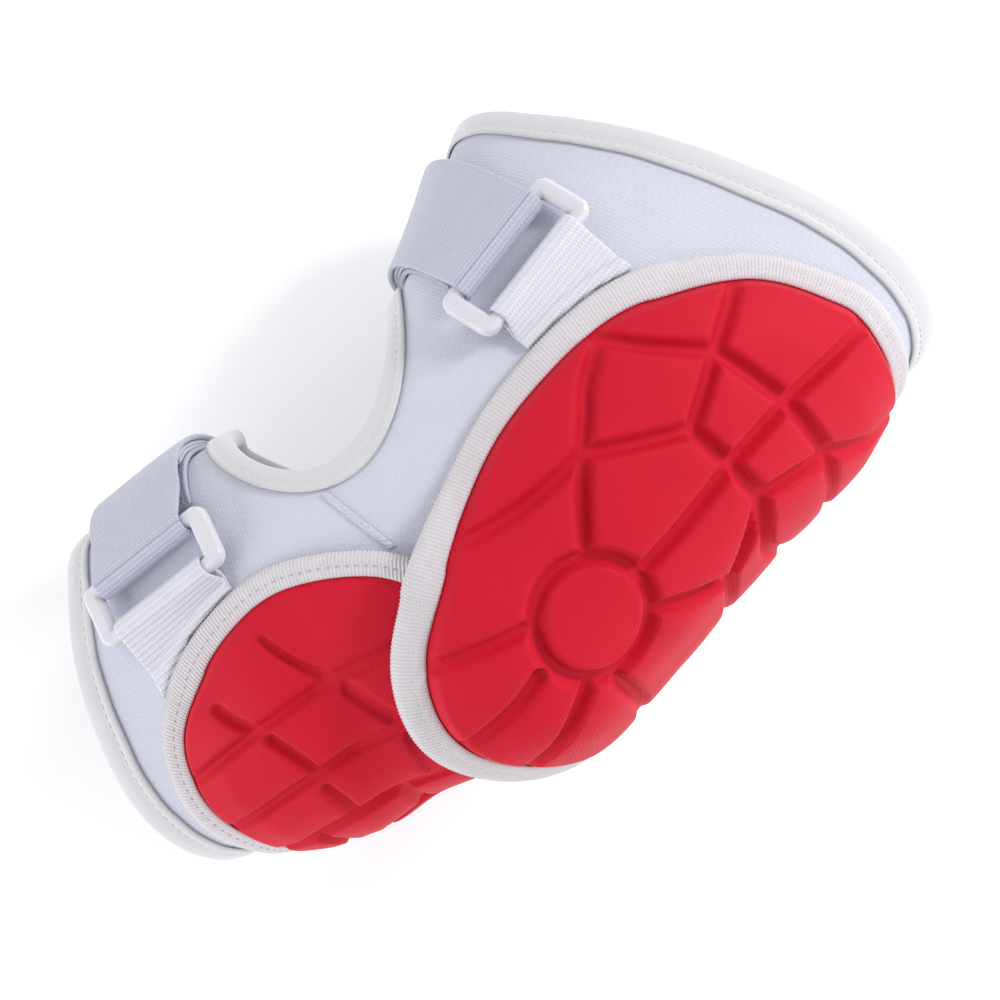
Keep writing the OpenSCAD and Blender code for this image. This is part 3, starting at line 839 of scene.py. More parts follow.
        profile = self.fold_profile(HEM_W, 0.5)
        size = (241, len(profile))
        points = off(np.broadcast_to(profile[None, :, 0], size), np.broadcast_to(profile[None, :, 1], size))
        run = np.concatenate([[0.0], np.cumsum(np.linalg.norm(np.diff(points[:, 0], axis=0), axis=1))])
        pattern = np.stack(np.broadcast_arrays(profile[None, :, 0], run[:, None]), -1)
        band = close_up(grid_piece("crook_binding", points, pattern))
        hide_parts("crook_binding")
        self.wardrobe.dress(band, Slot.ELASTIC_TAPE)
        self.bends(band)
        line = off(np.full((241, 1), HEM_W * 0.62), np.full((241, 1), 0.5 + self.tape - 0.12))[:, 0]
        stitches = Thread(1.9, 1.0, 0.42).sew("crook_binding_stitches", line, ARM.normal(s, th))
        self.wardrobe.dress(stitches, Slot.ELASTIC_TAPE, self.wardrobe.white_thread)
        self.bends(stitches)
        return [band, stitches]

    def seam(self) -> list[bpy.types.Object]:
        """The flat seam from the window to the pads, with the zigzag thread over it."""
        start, end = np.array([-20.5, 56.0]), np.array([-14.0, 80.0])
        line = start + (end - start) * np.linspace(0, 1, 9)[:, None]
        offs = np.linspace(-1.1, 1.1, 5)
        s = line[:, :1] + offs[None, :]
        th = np.broadcast_to(line[:, 1:], s.shape)
        rows = ARM.at(s, th, np.full(s.shape, 0.32))
        tape = Band(width=2.2, thickness=0.6, columns=8).lay("elbow_seam", rows, 0.8)
        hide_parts("elbow_seam")
        self.wardrobe.dress(tape, Slot.KNIT)
        self.bends(tape)
        zig = start + (end - start) * np.linspace(0, 1, 27)[:, None]
        zig[:, 0] += np.where(np.arange(27) % 2, 0.95, -0.95)
        path = ARM.at(zig[:, 0], zig[:, 1], np.full(27, 0.72))
        thread = Thread(1.9, 0.05, 0.34, 5).sew("elbow_seam_stitches", path, ARM.normal(zig[:, 0], zig[:, 1]))
        self.wardrobe.dress(thread, Slot.KNIT, self.wardrobe.white_thread)
        self.bends(thread)
        return [tape, thread]

    def build(self) -> list[bpy.types.Object]:
        """Builds every piece of the sleeve."""
        return [
            self.body(),
            *self.hem("upper_hem", ARM.upper_len, -1, Cuff.UPPER),
            *self.hem("forearm_hem", -ARM.forearm_len, 1, Cuff.FOREARM),
            *self.window_binding(),
            *self.seam(),
        ]


# ---- Pads ------------------------------------------------------------------------


@dataclass
class Pad:
    """A moulded pad: a red cover sculpted with channels over foam, bound in ribbed tape."""

    wardrobe: Wardrobe
    name: str
    cuff: Cuff
    outline: list[Point]
    middle: Point
    channels: list[list[Point]]
    boss: Point | None = None
    boss_radius: float = 17.6
    around_steps: int = 36
    channel_depth: float = 4.0
    channel_floor: float = 0.9
    channel_wall: float = 2.6
    bevel_w: float = 15.0
    binding_h: float = 3.7
    settle: float = 0.0
    facets: list[tuple[float, float, float, float]] = field(default_factory=list)

    def height(self, s: np.ndarray) -> np.ndarray:
        """The pad's full height over its own base."""
        raise NotImplementedError

    def lift(self, s: np.ndarray) -> np.ndarray:
        """How far the pad's base stands off the sleeve."""
        raise NotImplementedError

    def edge(self) -> np.ndarray:
        """The outline as a closed row of places, its first repeated at the end."""
        loop = closed_spline(self.outline, self.around_steps)
        return np.concatenate([loop, loop[:1]])

    def inset(self, edge: np.ndarray, distance: float, share: float) -> np.ndarray:
        """The outline moved in by a distance and then shrunk to a share of that."""
        spoke = edge - np.array(self.middle)
        reach = np.linalg.norm(spoke, axis=1, keepdims=True)
        return np.array(self.middle) + spoke * (reach - distance) / reach * share

    def channel_line(self) -> np.ndarray:
        """Every channel's centre line as points near the pad's top, in millimetres."""
        parts = []
        for channel in self.channels:
            fine = open_spline(np.array(channel, float), 0.7)
            parts.append(fine)
        places = np.concatenate(parts)
        return ARM.at(places[:, 0], places[:, 1], self.lift(places[:, 0]) + self.height(places[:, 0]) - 2.0)

    def sculpt(self, s: np.ndarray, th: np.ndarray, distance: np.ndarray) -> np.ndarray:
        """The height of the cover over the pad's base.

        Args:
            s: Distances along the arm.
            th: Angles round the arm.
            distance: How far in from the outline each place is, measured along its spoke.

        Returns:
            The heights.
        """
        tall = self.height(s)
        flange = self.binding_h - 0.95
        level = ARM.at(s, th, self.lift(s) + tall - 2.0)
        rim = self.edge()
        rim_line = ARM.at(rim[:, 0], rim[:, 1], self.lift(rim[:, 0]) + self.height(rim[:, 0]) - 2.0)
        away = np.minimum(distance_to(level, rim_line), distance)
        t = np.clip((away - BINDING_W - 0.3) / self.bevel_w, 0, None)
        step = np.sin(0.5 * math.pi * np.clip(t / 0.2, 0, 1))
        slope = 1.0 - np.log1p(np.exp(-(t - 1.0) * 14)) / 14
        slope = np.clip(slope, 0, 1)
        dome = flange + (tall - flange) * (0.5 * step + 0.5 * slope)
        gap = distance_to(level, self.channel_line())
        if self.boss is not None:
            row = np.array([self.boss[0]])
            centre = ARM.at(*np.array(self.boss)[:, None], self.lift(row) + self.height(row) - 2.0)[0]
            from_boss = np.linalg.norm(level - centre, axis=-1)
            inside = from_boss < self.boss_radius
            gap = np.where(inside, 99.0, gap)
            gap = np.minimum(gap, np.abs(from_boss - self.boss_radius))
        cut = 1.0 - smooth((gap - self.channel_floor) / self.channel_wall)
        share = np.clip((dome - flange) / (tall - flange + 1e-6), 0, 1)
        crown = 0.55 * (1 - np.exp(-np.clip(gap - 3, 0, None) / 5.0)) * share
        tilt = 0.0 * s
        for place_s, place_th, along, round_ in self.facets:
            near = np.exp(-(((s - place_s) / 13) ** 2 + ((th - place_th) / 13) ** 2))
            tilt = tilt + near * (along * (s - place_s) + round_ * (th - place_th)) / 13
        tilt = tilt * share * (1 - cut)
        depth = self.channel_depth * (1 - self.settle * 0.6 * smooth((th - 146) / 24))
        low = self.settle * 3.6 * smooth((th - 138) / 26) * smooth((72 - s) / 50) * share
        return dome - 0.5 * share + crown * 0.9 + tilt - depth * cut * share - low

    def rings(self, fine: float) -> list[tuple[float, float]]:
        """The rings of the cover's mesh: (inset, share of the way out)."""
        rim, inner = np.arange(7.2, 12.0, 0.45 * fine), np.arange(12.0, 20.0, 0.7 * fine)
        steps = [0.95, 3.0, 5.4, 6.4, 6.9] + list(rim) + list(inner)
        deep = steps[-1]
        reach = float(np.linalg.norm(self.edge() - np.array(self.middle), axis=1).mean()) - deep
        count = max(8, round(reach / (0.75 * fine)))
        return [(d, 1.0) for d in steps] + [(deep, 1.0 - k / count) for k in range(1, count + 1)]

    def layer(
        self, name: str, top_off: float, bottom: str, fine: float, rings: list[tuple[float, float]]
    ) -> bpy.types.Object:
        """One closed layer of the pad.

        Args:
            name: The piece's name.
            top_off: How far its top lies under the sculpted cover.
            bottom: "under" for a thin shell that follows its own top, "flat" for a base.
            fine: Wanted coarseness, 1 for the cover.
            rings: The mesh's rings from the rim to the middle.

        Returns:
            The piece.
        """
        edge = self.edge()[:: max(1, round(fine))]
        if not np.allclose(edge[-1], edge[0]):
            edge = np.concatenate([edge, edge[:1]])
        places = np.stack([self.inset(edge, d, f) for d, f in rings])
        s, th = places[..., 0], places[..., 1]
        shape = self.sculpt(s, th, np.linalg.norm(places - edge[None], axis=-1))
        top = shape - top_off
        if bottom == "under":
            low = np.maximum(shape - 0.9, 1.75)
        else:
            low = 1.2 + 0 * s
        top = np.maximum(top, low + 0.15)
        lift = self.lift(s)
        over, below = ARM.at(s, th, lift + top), ARM.at(s, th, lift + low)
        rim = ARM.at(s[:1], th[:1], lift[:1] + (top[:1] + low[:1]) / 2)
        points = np.concatenate([over[::-1], rim, below])
        run = ARM.girth(float(self.middle[0]), th)
        weave = np.stack([s, run], -1)
        pattern = np.concatenate([weave[::-1], weave[:1], weave])
        return close_up(grid_piece(name, points, pattern))

    def cover(self) -> bpy.types.Object:
        """The red cover with its channels."""
        piece = self.layer(self.name + "_cover", 0.0, "under", 1.0, self.rings(1.0))
        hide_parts(self.name + "_cover")
        self.wardrobe.dress(piece, Slot.RED_FABRIC)
        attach(piece, self.cuff.value)
        return piece

    def foam(self) -> bpy.types.Object:
        """The moulded foam inside the cover."""
        rings = [(d, f) for d, f in self.rings(2.2) if d > 9.5]
        piece = self.layer(self.name + "_foam", 1.25, "flat", 2.0, rings)
        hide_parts(self.name + "_foam")
        self.wardrobe.dress(piece, Slot.FOAM)
        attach(piece, self.cuff.value)
        return piece

    def backing(self) -> bpy.types.Object:
        """The lining between the foam and the sleeve."""
        edge = self.edge()[::2]
        if not np.allclose(edge[-1], edge[0]):
            edge = np.concatenate([edge, edge[:1]])
        rim = [(d, 1.0) for d in (1.2, 3.0, 5.0, 7.0, 8.5, 10.0, 12.0)]
        rings = rim + [(12.0, f) for f in np.linspace(1, 0, 22)[1:]]
        places = np.stack([self.inset(edge, d, f) for d, f in rings])
        s, th = places[..., 0], places[..., 1]
        inset_d = np.array([d for d, _ in rings])[:, None]
        base = 0.95 * (1 - smooth((inset_d - BINDING_W) / 2.0)) + 0 * s
        quilt = 0.06 * np.sin(s * 0.9) * np.sin(np.radians(th) * 55)
        over = ARM.at(s, th, self.lift(s) + base + 0.5)
        below = ARM.at(s, th, self.lift(s) + base + np.minimum(quilt, 0.0) + 0.04)
        weave = np.stack([s, ARM.girth(float(self.middle[0]), th)], -1)
        points = np.concatenate([over[::-1], below])
        piece = close_up(grid_piece(self.name + "_backing", points, np.concatenate([weave[::-1], weave])))
        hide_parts(self.name + "_backing")
        self.wardrobe.dress(piece, Slot.LINER)
        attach(piece, self.cuff.value)
        return piece

    def binding(self) -> list[bpy.types.Object]:
        """The ribbed tape folded round the pad's edge, with its row of stitches."""
        edge = closed_spline(self.outline, 160)
        edge = np.concatenate([edge, edge[:1]])
        skin = ARM.at(edge[:, 0], edge[:, 1], self.lift(edge[:, 0]) + 3.0)
        run = np.concatenate([[0.0], np.cumsum(np.linalg.norm(np.diff(skin, axis=0), axis=1))])
        pitch = run[-1] / round(run[-1] / 1.15)
        even = np.linspace(0, run[-1], 4 * round(run[-1] / pitch) + 1)
        edge = np.stack([np.interp(even, run, edge[:, k]) for k in range(2)], -1)
        h, w = self.binding_h, BINDING_W
        profile = [(w, h - 0.75), (w + 0.15, h - 0.4), (w - 0.35, h - 0.02), (w * 0.72, h + 0.18),
                   (w * 0.6, h + 0.02),
                   (w * 0.45, h + 0.3), (w * 0.25, h + 0.28), (1.2, h + 0.02), (0.5, h - 0.5),
                   (0.05, h * 0.66), (0.0, h * 0.45),
                   (0.15, h * 0.25), (0.6, 0.22), (1.3, 0.05), (w * 0.5, 0.02), (w, 0.05), (w, 0.7),
                   (1.2, 0.75), (0.8, 1.2),
                   (0.8, 2.5), (1.2, h - 0.95), (w, h - 0.75)]
        shape = np.array(profile)
        outside = np.array([1.0] * 16 + [0.0] * 5 + [1.0])
        rib = 0.11 * np.cos(2 * math.pi * even / pitch)[:, None] * outside[None, :]
        spoke = edge - np.array(self.middle)
        reach = np.linalg.norm(spoke, axis=1)[:, None]
        distance = shape[None, :, 0] - np.where(shape[None, :, 0] < 1.0, rib, 0.0)
        places = np.array(self.middle) + spoke[:, None, :] * ((reach - distance) / reach)[..., None]
        s, th = places[..., 0], places[..., 1]
        height = self.lift(s) + np.maximum(shape[None, :, 1] + np.where(shape[None, :, 1] > h / 2, rib, 0), 0.02)
        pattern = np.stack(np.broadcast_arrays(shape[None, :, 0], even[:, None]), -1)
        tape = close_up(grid_piece(self.name + "_binding", ARM.at(s, th, height), pattern))
        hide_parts(self.name + "_binding")
        self.wardrobe.dress(tape, Slot.RIBBED_TAPE)
        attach(tape, self.cuff.value)
        line = np.array(self.middle) + spoke * (reach - w * 0.6) / reach
        place = ARM.at(line[:, 0], line[:, 1], self.lift(line[:, 0]) + h + 0.08)
        stitches = Thread(1.3, 1.5, 0.42).sew(self.name + "_binding_stitches", place, ARM.normal(line[:, 0], line[:, 1]))
        thread = self.wardrobe.white_thread if self.cuff is Cuff.UPPER else self.wardrobe.grey_thread
        self.wardrobe.dress(stitches, Slot.RIBBED_TAPE, thread)
        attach(stitches, self.cuff.value)
        return [tape, stitches]

    def build(self) -> list[bpy.types.Object]:
        """Builds every layer of the pad."""
        return [self.backing(), self.foam(), self.cover(), *self.binding()]


@dataclass
class ElbowPad(Pad):
    """The large pad over the elbow and the lower upper arm."""

    def height(self, s: np.ndarray) -> np.ndarray:
        """The same all over."""
        return 10.5 + 0 * s

    def lift(self, s: np.ndarray) -> np.ndarray:
        """It rises over the forearm pad."""
        return 0.6 + 7.5 * smooth((16 - s) / 32)


@dataclass
class ForearmPad(Pad):
    """The small pad on the forearm."""

    def height(self, s: np.ndarray) -> np.ndarray:
        """It thins out under the elbow pad."""
        return 3.7 + 4.3 * smooth((-42 - s) / 20)

    def lift(self, s: np.ndarray) -> np.ndarray:
        """It lies on the sleeve."""
        return 0.6 + 0 * s


def elbow_pad(wardrobe: Wardrobe) -> ElbowPad:
    """The elbow pad with its outline, channels and boss."""
    a, b, c, d, e = (70, 106), (58, 86), (34, 94), (52, 112), (19, 107)
    f, g, h, i, j, k = (51, 126), (70, 128), (24, 123), (50, 140), (68, 150), (34, 152)
    channels = [
        [a, (86, 102), (99, 98)], [a, b], [a, d], [a, g], [b, (61, 80), (64, 74)], [b, (46, 89), c],
        [c, (43, 103), d],
        [c, (26, 100), e], [c, (18, 91), (3, 88), (-6, 84)], [d, f], [f, g], [f, (38, 125), h], [f, i],
        [g, (90, 132), (108, 136)],
        [g, j], [i, j], [i, k], [j, (79, 162), (98, 174)], [j, (64, 174), (66, 200)], [k, (19, 134)],
        [k, (30, 176), (28, 204)],
        [(-2, 110), (-12, 108), (-24, 107), (-34, 106)], [(-6, 122), (-22, 130), (-36, 136)],
        [(0, 133), (-14, 145), (-30, 158)],
        [(4, 140), (4, 160), (0, 192)], [i, (44, 162), (50, 182), (52, 206)],
    ]
    outline = [(106, 140), (105, 119), (97, 99), (76, 83), (50, 74), (22, 71), (-4, 80), (-27, 100),
               (-35, 126), (-29, 152), (-11, 184),
               (20, 206), (60, 208), (93, 192)]
    facets = [(58, 97, 0.5, -0.5), (37, 109, -0.5, 0.5), (85, 118, 0.6, 0.3), (60, 118, -0.4, 0.4),
              (60, 138, 0.4, 0.4),
              (84, 148, 0.6, 0.4), (36, 138, 0.4, 0.6), (40, 84, 0.3, -0.7), (-6, 96, -0.5, -0.5),
              (-18, 118, -0.6, 0.2)]
    return ElbowPad(wardrobe, "elbow_pad", Cuff.UPPER, outline, (33, 138), channels,
                    boss=(9.5, 121), settle=1.0, facets=facets)


def forearm_pad(wardrobe: Wardrobe) -> ForearmPad:
    """The forearm pad with its outline and channels."""
    channels = [
        [(-97, 116), (-90, 114), (-65, 108), (-44, 104), (-30, 102), (-18, 100)],
        [(-96, 138), (-90, 136), (-59, 128), (-36, 125), (-18, 122)],
        [(-92, 160), (-83, 157), (-59, 150), (-38, 152), (-18, 150)],
        [(-84, 180), (-58, 174), (-34, 174), (-18, 172)],
        [(-54, 90), (-49, 98), (-44, 104)], [(-73, 99), (-69, 105), (-66, 108)],
        [(-42, 108), (-39, 117), (-36, 125)],
        [(-64, 112), (-61, 120), (-59, 128)], [(-60, 134), (-59, 142), (-59, 150)],
        [(-37, 130), (-38, 142), (-38, 152)],
        [(-72, 157), (-70, 166), (-70, 177)], [(-47, 154), (-47, 164), (-47, 174)],
        [(-60, 178), (-60, 190), (-60, 200)],
    ]
    outline = [(-6, 100), (-16, 80), (-42, 74), (-70, 81), (-91, 94), (-99, 112), (-100, 132), (-95, 158),
               (-88, 186), (-66, 204),
               (-36, 206), (-12, 186), (-5, 145)]
    return ForearmPad(wardrobe, "forearm_pad", Cuff.FOREARM, outline, (-52, 138), channels,
                      channel_depth=2.8, channel_floor=0.5, channel_wall=2.4, bevel_w=12.0, around_steps=34)


# ---- Strap closures --------------------------------------------------------------


@dataclass
class Closure:
    """A plastic loop held by a webbing tab, and the elastic strap that folds through it."""

    wardrobe: Wardrobe
    name: str
    cuff: Cuff
    s: float
    th: float
    skew: float
    pad_edge: list[Point]
    width: float = 36.0
    strap_t: float = 1.6
    tab_t: float = 1.3
    bar_y: float = 7.5
    bar_d: float = 4.4
    bar_height: float = 5.6
    straighten: float = 100.0
    strap_end: float = -136.0
    tail_end: float = -44.0
    patch_start: float = 20.0
    patch_end: float = -40.0
    loop_w: float = 50.0
    loop_h: float = 19.4
    loop_t: float = 3.8
    end_w: float = 6.0
    corner: float = 4.0

    def __post_init__(self) -> None:
        """Sets up the loop's own frame."""
        along, around = unit(ARM.along(self.s, self.th)), unit(ARM.around(self.s, self.th))
        k = math.radians(self.skew)
        self.x = math.cos(k) * along + math.sin(k) * around
        self.z = ARM.normal(self.s, self.th)
        self.y = np.cross(self.z, self.x)
        self.o = ARM.at(np.array(self.s), np.array(self.th), np.array(self.bar_height))

    def in_loop(self, x: np.ndarray, y: float, z: float) -> np.ndarray:
        """Points given in the loop's frame."""
        x = np.asarray(x, float)[..., None]
        return self.o + x * self.x + y * self.y + z * self.z

    def across(self, width: float) -> np.ndarray:
        """Offsets across a band from one edge to the other."""
        return np.linspace(-width / 2, width / 2, 7)

    def strap_row(self, th: float, width: float, height: float) -> np.ndarray:
        """A row across the strap where it lies on the sleeve."""
        t = min(1.0, max(0.0, (self.th - th) / self.straighten))
        reach = self.straighten * float(np.linalg.norm(ARM.around(self.s, self.th)))
        s = self.s + math.tan(math.radians(self.skew)) * reach * (t - t * t / 2)
        k = math.radians(self.skew * (1 - t))
        x = self.across(width)
        u, v = np.linalg.norm(ARM.along(s, th)), np.linalg.norm(ARM.around(s, th))
        return ARM.at(s + x * math.cos(k) / u, th + x * math.sin(k) / v, np.full(x.shape, height))

    def wrap_row(self, y: float, angle: float, radius: float, width: float) -> np.ndarray:
        """A row of a band that goes round a bar."""
        a = math.radians(angle)
        return self.in_loop(self.across(width), y + radius * math.cos(a), radius * math.sin(a))

    def finish(self, piece: bpy.types.Object, slot: Slot, body: str, *nodes: str) -> bpy.types.Object:
        """Dresses a piece, hides the parts that it stands in for and puts it on the body it rides on."""
        if nodes:
            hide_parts(*nodes)
        self.wardrobe.dress(piece, slot)
        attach(piece, body)
        return piece

    def elastic(self) -> Band:
        """The ribbed elastic of the strap."""
        return Band(self.width, self.strap_t, ribs=24, rib_depth=0.09, selvedge=1.6)

    def strap(self) -> bpy.types.Object:
        """The strap from its sewn end under the arm to the loop."""
        mid = 0.35 + self.strap_t / 2
        rows = [self.strap_row(th, self.width, mid) for th in np.arange(self.strap_end, self.th - 12.9, 6)]
        piece = self.elastic().lay(self.name + "_strap", np.array(rows), 2.0)
        return self.finish(piece, Slot.ELASTIC_STRAP, self.cuff.value, self.name + "_strap")

    def strap_fold(self) -> bpy.types.Object:
        """The strap where it turns round the loop's bar."""
        radius = self.bar_d / 2 + 0.25 + self.strap_t / 2
        rows = [self.wrap_row(self.bar_y, a, radius, self.width) for a in np.linspace(262, 90, 17)]
        piece = self.elastic().lay(self.name + "_strap_fold", np.array(rows), 0.9, False, False)
        return self.finish(piece, Slot.ELASTIC_STRAP, self.name + "_loop", self.name + "_strap_fold")

    def tail(self) -> bpy.types.Object:
        """The strap's tail, which lies back on the strap."""
        radius = self.bar_d / 2 + 0.25 + self.strap_t / 2
        lead = [self.in_loop(self.across(self.width), self.bar_y + y, radius - y * y / 12) for y in (0.0, 1.0, 2.2)]
        steps = np.arange(self.th - 24, self.tail_end - 0.1, -6)
        lie = [self.strap_row(th, self.width, 4.4 + self.strap_t / 2) for th in steps]
        piece = self.elastic().lay(self.name + "_tail", np.array(lead + lie), 2.0, False)
        return self.finish(piece, Slot.ELASTIC_STRAP, self.name + "_strap_tail", self.name + "_tail")

    def patch(self, kind: str, low: float, body: str) -> bpy.types.Object:
        """The loop pile on the strap or the hooks under its tail."""
        steps = np.arange(self.patch_end, self.patch_start + 0.1, 6)
        rows = [self.strap_row(th, self.width - 2, low + 0.5) for th in steps]
        piece = Band(self.width - 2, 1.1, columns=18).lay(f"{self.name}_{kind}_patch", np.array(rows), 2.5)
        return self.finish(piece, Slot.HOOK_AND_LOOP, body, f"{self.name}_{kind}_patch")

    def pad_angle(self, s: float) -> float:
        """The angle at which the pad's edge stands at a distance s."""
        edge = closed_spline(self.pad_edge, 24)
        nxt = np.roll(edge, -1, 0)
        crossing = (edge[:, 0] - s) * (nxt[:, 0] - s) <= 0
        a, b = edge[crossing], nxt[crossing]
        return float(np.min(a[:, 1] + (b[:, 1] - a[:, 1]) * (s - a[:, 0]) / (b[:, 0] - a[:, 0] + 1e-9)))

    def tab(self) -> bpy.types.Object:
        """The webbing tab: from the pad's edge, round the bar and back on top."""
        near = (np.linalg.norm(ARM.along(self.s, self.th)), np.linalg.norm(ARM.around(self.s, self.th)))
        far = np.linalg.norm(ARM.along(self.s, self.th + 20))
        k = math.radians(self.skew)
        x = self.across(self.width)

        def row(share: float, height: float) -> np.ndarray:
            start = np.stack([self.s + x * math.cos(k) / near[0], self.th + x * math.sin(k) / near[1]], -1)
            s = self.s + (x * math.cos(k) - 20 * math.sin(k)) / far
            end = np.stack([s, [self.pad_angle(float(v)) - 0.9 for v in s]], -1)
            place = start + (end - start) * share
            return ARM.at(place[:, 0], place[:, 1], np.full(x.shape, height))

        low = 0.35 + self.tab_t / 2
        high = low + self.tab_t + 0.35
        radius = self.bar_d / 2 + 0.25 + self.tab_t / 2
        wrapped = [self.wrap_row(-self.bar_y, a, radius, self.width) for a in range(-90, 151, 16)]
        rows = ([row(f, low) for f in (1.0, 0.9, 0.8, 0.7)] + wrapped
                + [row(f, high) for f in (0.78, 0.86, 0.93, 1.0)])
        rows = [r[::-1] for r in rows]
        band = Band(self.width, self.tab_t, columns=30)
        piece = band.lay(self.name + "_tab", np.array(rows), 0.7, datum=0.5)
        return self.finish(piece, Slot.WEBBING, self.cuff.value, self.name + "_tab")

    def loop(self) -> bpy.types.Object:
        """The plastic loop: a rounded plate, opened in the middle and softened all over."""
        clear_selection()
        bpy.ops.mesh.primitive_cube_add(size=MM, location=(0, 0, 0))
        piece = bpy.context.active_object
        piece.name = self.name + "_ring"
        piece.data.name = piece.name
        bpy.ops.object.mode_set(mode="EDIT")
        bpy.ops.mesh.select_mode(type="FACE")
        bpy.ops.transform.resize(value=(self.loop_w, self.loop_h, self.loop_t))
        self.select_faces(piece, lambda f: abs(f.normal.z) > 0.9)
        bpy.ops.mesh.inset(thickness=self.bar_d * MM, depth=0)
        share = (self.loop_w - 2 * self.end_w) / (self.loop_w - 2 * self.bar_d)
        bpy.ops.transform.resize(value=(share, 1, 1))
        bpy.ops.mesh.bridge_edge_loops()
        bpy.ops.mesh.select_mode(type="EDGE")
        outer = self.loop_w * MM / 2 - 1e-5
        self.select_edges(piece, lambda e: all(abs(v.co.x) > outer for v in e.verts)
                          and abs(e.verts[0].co.z - e.verts[1].co.z) > 1e-4)
        bpy.ops.mesh.bevel(offset=self.corner * MM, segments=8, affect="EDGES")
        bpy.ops.object.mode_set(mode="OBJECT")
        soften = piece.modifiers.new("Soften", "BEVEL")
        soften.width, soften.segments = 1.45 * MM, 5
        soften.limit_method, soften.angle_limit = "ANGLE", math.radians(50)
        bpy.ops.object.modifier_apply(modifier=soften.name)
        self.crown_ends(piece)
        rows = [[*(self.x[i], self.y[i], self.z[i]), self.o[i] * MM] for i in range(3)] + [[0, 0, 0, 1]]
        piece.data.transform(Matrix(rows))
        piece.data.polygons.foreach_set("use_smooth", [True] * len(piece.data.polygons))
        return self.finish(piece, Slot.LOOP_PLASTIC, self.name + "_loop", self.name + "_ring")

    def crown_ends(self, piece: bpy.types.Object) -> None:
        """Thickens the loop's two end bars a little, which stand higher than the long bars."""
        inner = (self.loop_w / 2 - self.end_w) * MM
        for vertex in piece.data.vertices:
            over = (abs(vertex.co.x) - inner) / (self.end_w * MM)
            if over > 0:
                vertex.co.z *= 1.0 + 0.28 * math.sin(math.pi * min(over, 1.0) * 0.9)

    @staticmethod
    def select_edges(piece: bpy.types.Object, wanted: object) -> None:
        """Selects the edges that pass a test."""
        shape = bmesh.from_edit_mesh(piece.data)
        for face in shape.faces:
            face.select = False
        for edge in shape.edges:
            edge.select = bool(wanted(edge))
        shape.select_flush_mode()
        bmesh.update_edit_mesh(piece.data)

    @staticmethod
    def select_faces(piece: bpy.types.Object, wanted: object) -> None:
        """Selects the faces that pass a test."""
        shape = bmesh.from_edit_mesh(piece.data)
        for edge in shape.edges:
            edge.select = False
        for face in shape.faces:
            face.select_set(bool(wanted(face)))
        bmesh.update_edit_mesh(piece.data)

    def tack(self) -> bpy.types.Object:
        """The close zigzag that holds the strap's end to the sleeve."""
        near = self.strap_row(self.strap_end + 2, self.width - 3, 2.0)
        far = self.strap_row(self.strap_end + 5, self.width - 3, 2.0)
        count = 33
        line = []
        for k in range(count):
            rail = near if k % 2 else far
            line.append([np.interp(k / (count - 1), np.linspace(0, 1, 7), rail[:, a]) for a in range(3)])
        path = np.array(line)
        out = np.broadcast_to(ARM.normal(self.s, self.strap_end), path.shape)
        piece = Thread(2.9, 0.05, 0.4, 5).sew(self.name + "_strap_tack", path, out)
        self.wardrobe.dress(piece, Slot.ELASTIC_STRAP, self.wardrobe.white_thread)
        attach(piece, self.cuff.value)
        return piece

    def build(self) -> list[bpy.types.Object]:
        """Builds the whole closure."""
        return [self.tab(), self.loop(), self.strap_fold(), self.strap(), self.tail(), self.tack(),
                self.patch("loop", 2.1, self.cuff.value), self.patch("hook", 3.25, self.name + "_strap_tail")]


# ---- Studio ----------------------------------------------------------------------


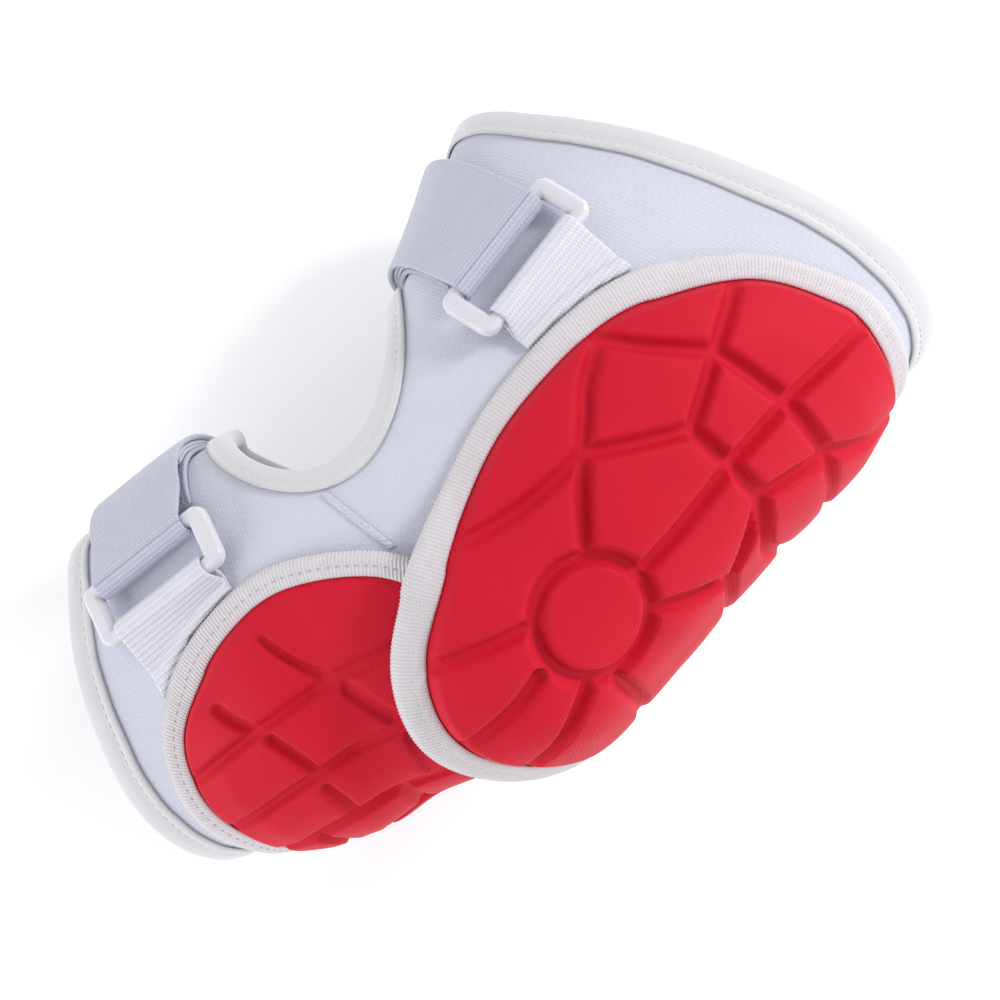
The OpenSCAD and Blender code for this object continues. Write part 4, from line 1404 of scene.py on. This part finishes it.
@dataclass(frozen=True)
class Studio:
    """The camera, the soft lights and the pale floor."""

    camera_place: tuple[float, float, float] = (0.0144, -0.0033, 1.527)
    camera_turn: float = -40.8
    lens: float = 189.0
    floor_colour: Colour = (0.95, 0.95, 0.95)

    def camera(self) -> None:
        """Looks straight down on the guard."""
        bpy.ops.object.camera_add(location=self.camera_place, rotation=(0, 0, math.radians(self.camera_turn)))
        camera = bpy.context.active_object
        camera.data.lens, camera.data.sensor_width, camera.data.clip_end = self.lens, 36.0, 20.0
        bpy.context.scene.camera = camera

    def lamp(
        self, name: str, place: tuple[float, float, float], size: float, power: float, colour: Colour = (1, 1, 1)
    ) -> None:
        """Adds a soft square light that faces the guard."""
        bpy.ops.object.light_add(type="AREA", location=place)
        lamp = bpy.context.active_object
        lamp.name = name
        lamp.data.size, lamp.data.energy, lamp.data.color = size, power, colour
        lamp.rotation_euler = (-Vector(place)).to_track_quat("-Z", "Y").to_euler()

    def floor(self, height: float) -> None:
        """A plain pale floor just under the guard."""
        clear_selection()
        bpy.ops.mesh.primitive_plane_add(size=12.0, location=(0, 0, height))
        floor = bpy.context.active_object
        floor.name = "floor"
        w = Wiring("floor", self.floor_colour, 0.9)
        w.shades(w.object_noise(3.0), darker(self.floor_colour, 0.01), self.floor_colour)
        w.shader.inputs["Emission Color"].default_value = (1.0, 1.0, 1.0, 1.0)
        w.shader.inputs["Emission Strength"].default_value = 0.22
        floor.data.materials.append(w.material)

    def build(self, height: float) -> None:
        """Sets the whole studio up over a floor at that height."""
        self.camera()
        world = bpy.data.worlds.new("studio")
        bpy.context.scene.world = world
        world.use_nodes = True
        world.node_tree.nodes["Background"].inputs[0].default_value = (1.0, 1.0, 1.0, 1.0)
        world.node_tree.nodes["Background"].inputs[1].default_value = 0.6
        bpy.context.scene.view_settings.view_transform = "Standard"
        turn = math.radians(self.camera_turn)

        def seen(right: float, up: float, z: float) -> tuple[float, float, float]:
            return (right * math.cos(turn) - up * math.sin(turn), right * math.sin(turn) + up * math.cos(turn), z)

        self.lamp("key", seen(1.0, 0.8, 0.85), 0.4, 12.0)
        self.lamp("fill", seen(-1.2, 0.5, 0.8), 1.0, 3.0)
        self.lamp("right", seen(1.2, -0.5, 0.28), 0.9, 5.0)
        self.lamp("left", seen(-1.0, -0.8, 0.35), 0.9, 8.0)
        self.floor(height)


def main() -> None:
    """Builds the guard in order: studio, sleeve, pads, closures."""
    logging.basicConfig(level=logging.INFO, format="%(name)s %(message)s")
    Studio().build(CAD_BOX[0][2])
    wardrobe = Wardrobe()
    big, small = elbow_pad(wardrobe), forearm_pad(wardrobe)
    parts = [
        Sleeve(wardrobe),
        big,
        small,
        Closure(wardrobe, "upper", Cuff.UPPER, 68.0, 59.0, 12.0, big.outline),
        Closure(wardrobe, "forearm", Cuff.FOREARM, -74.0, 62.0, -5.0, small.outline),
    ]
    for part in parts:
        for piece in part.build():
            report(piece)
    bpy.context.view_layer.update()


if __name__ == "__main__":
    main()
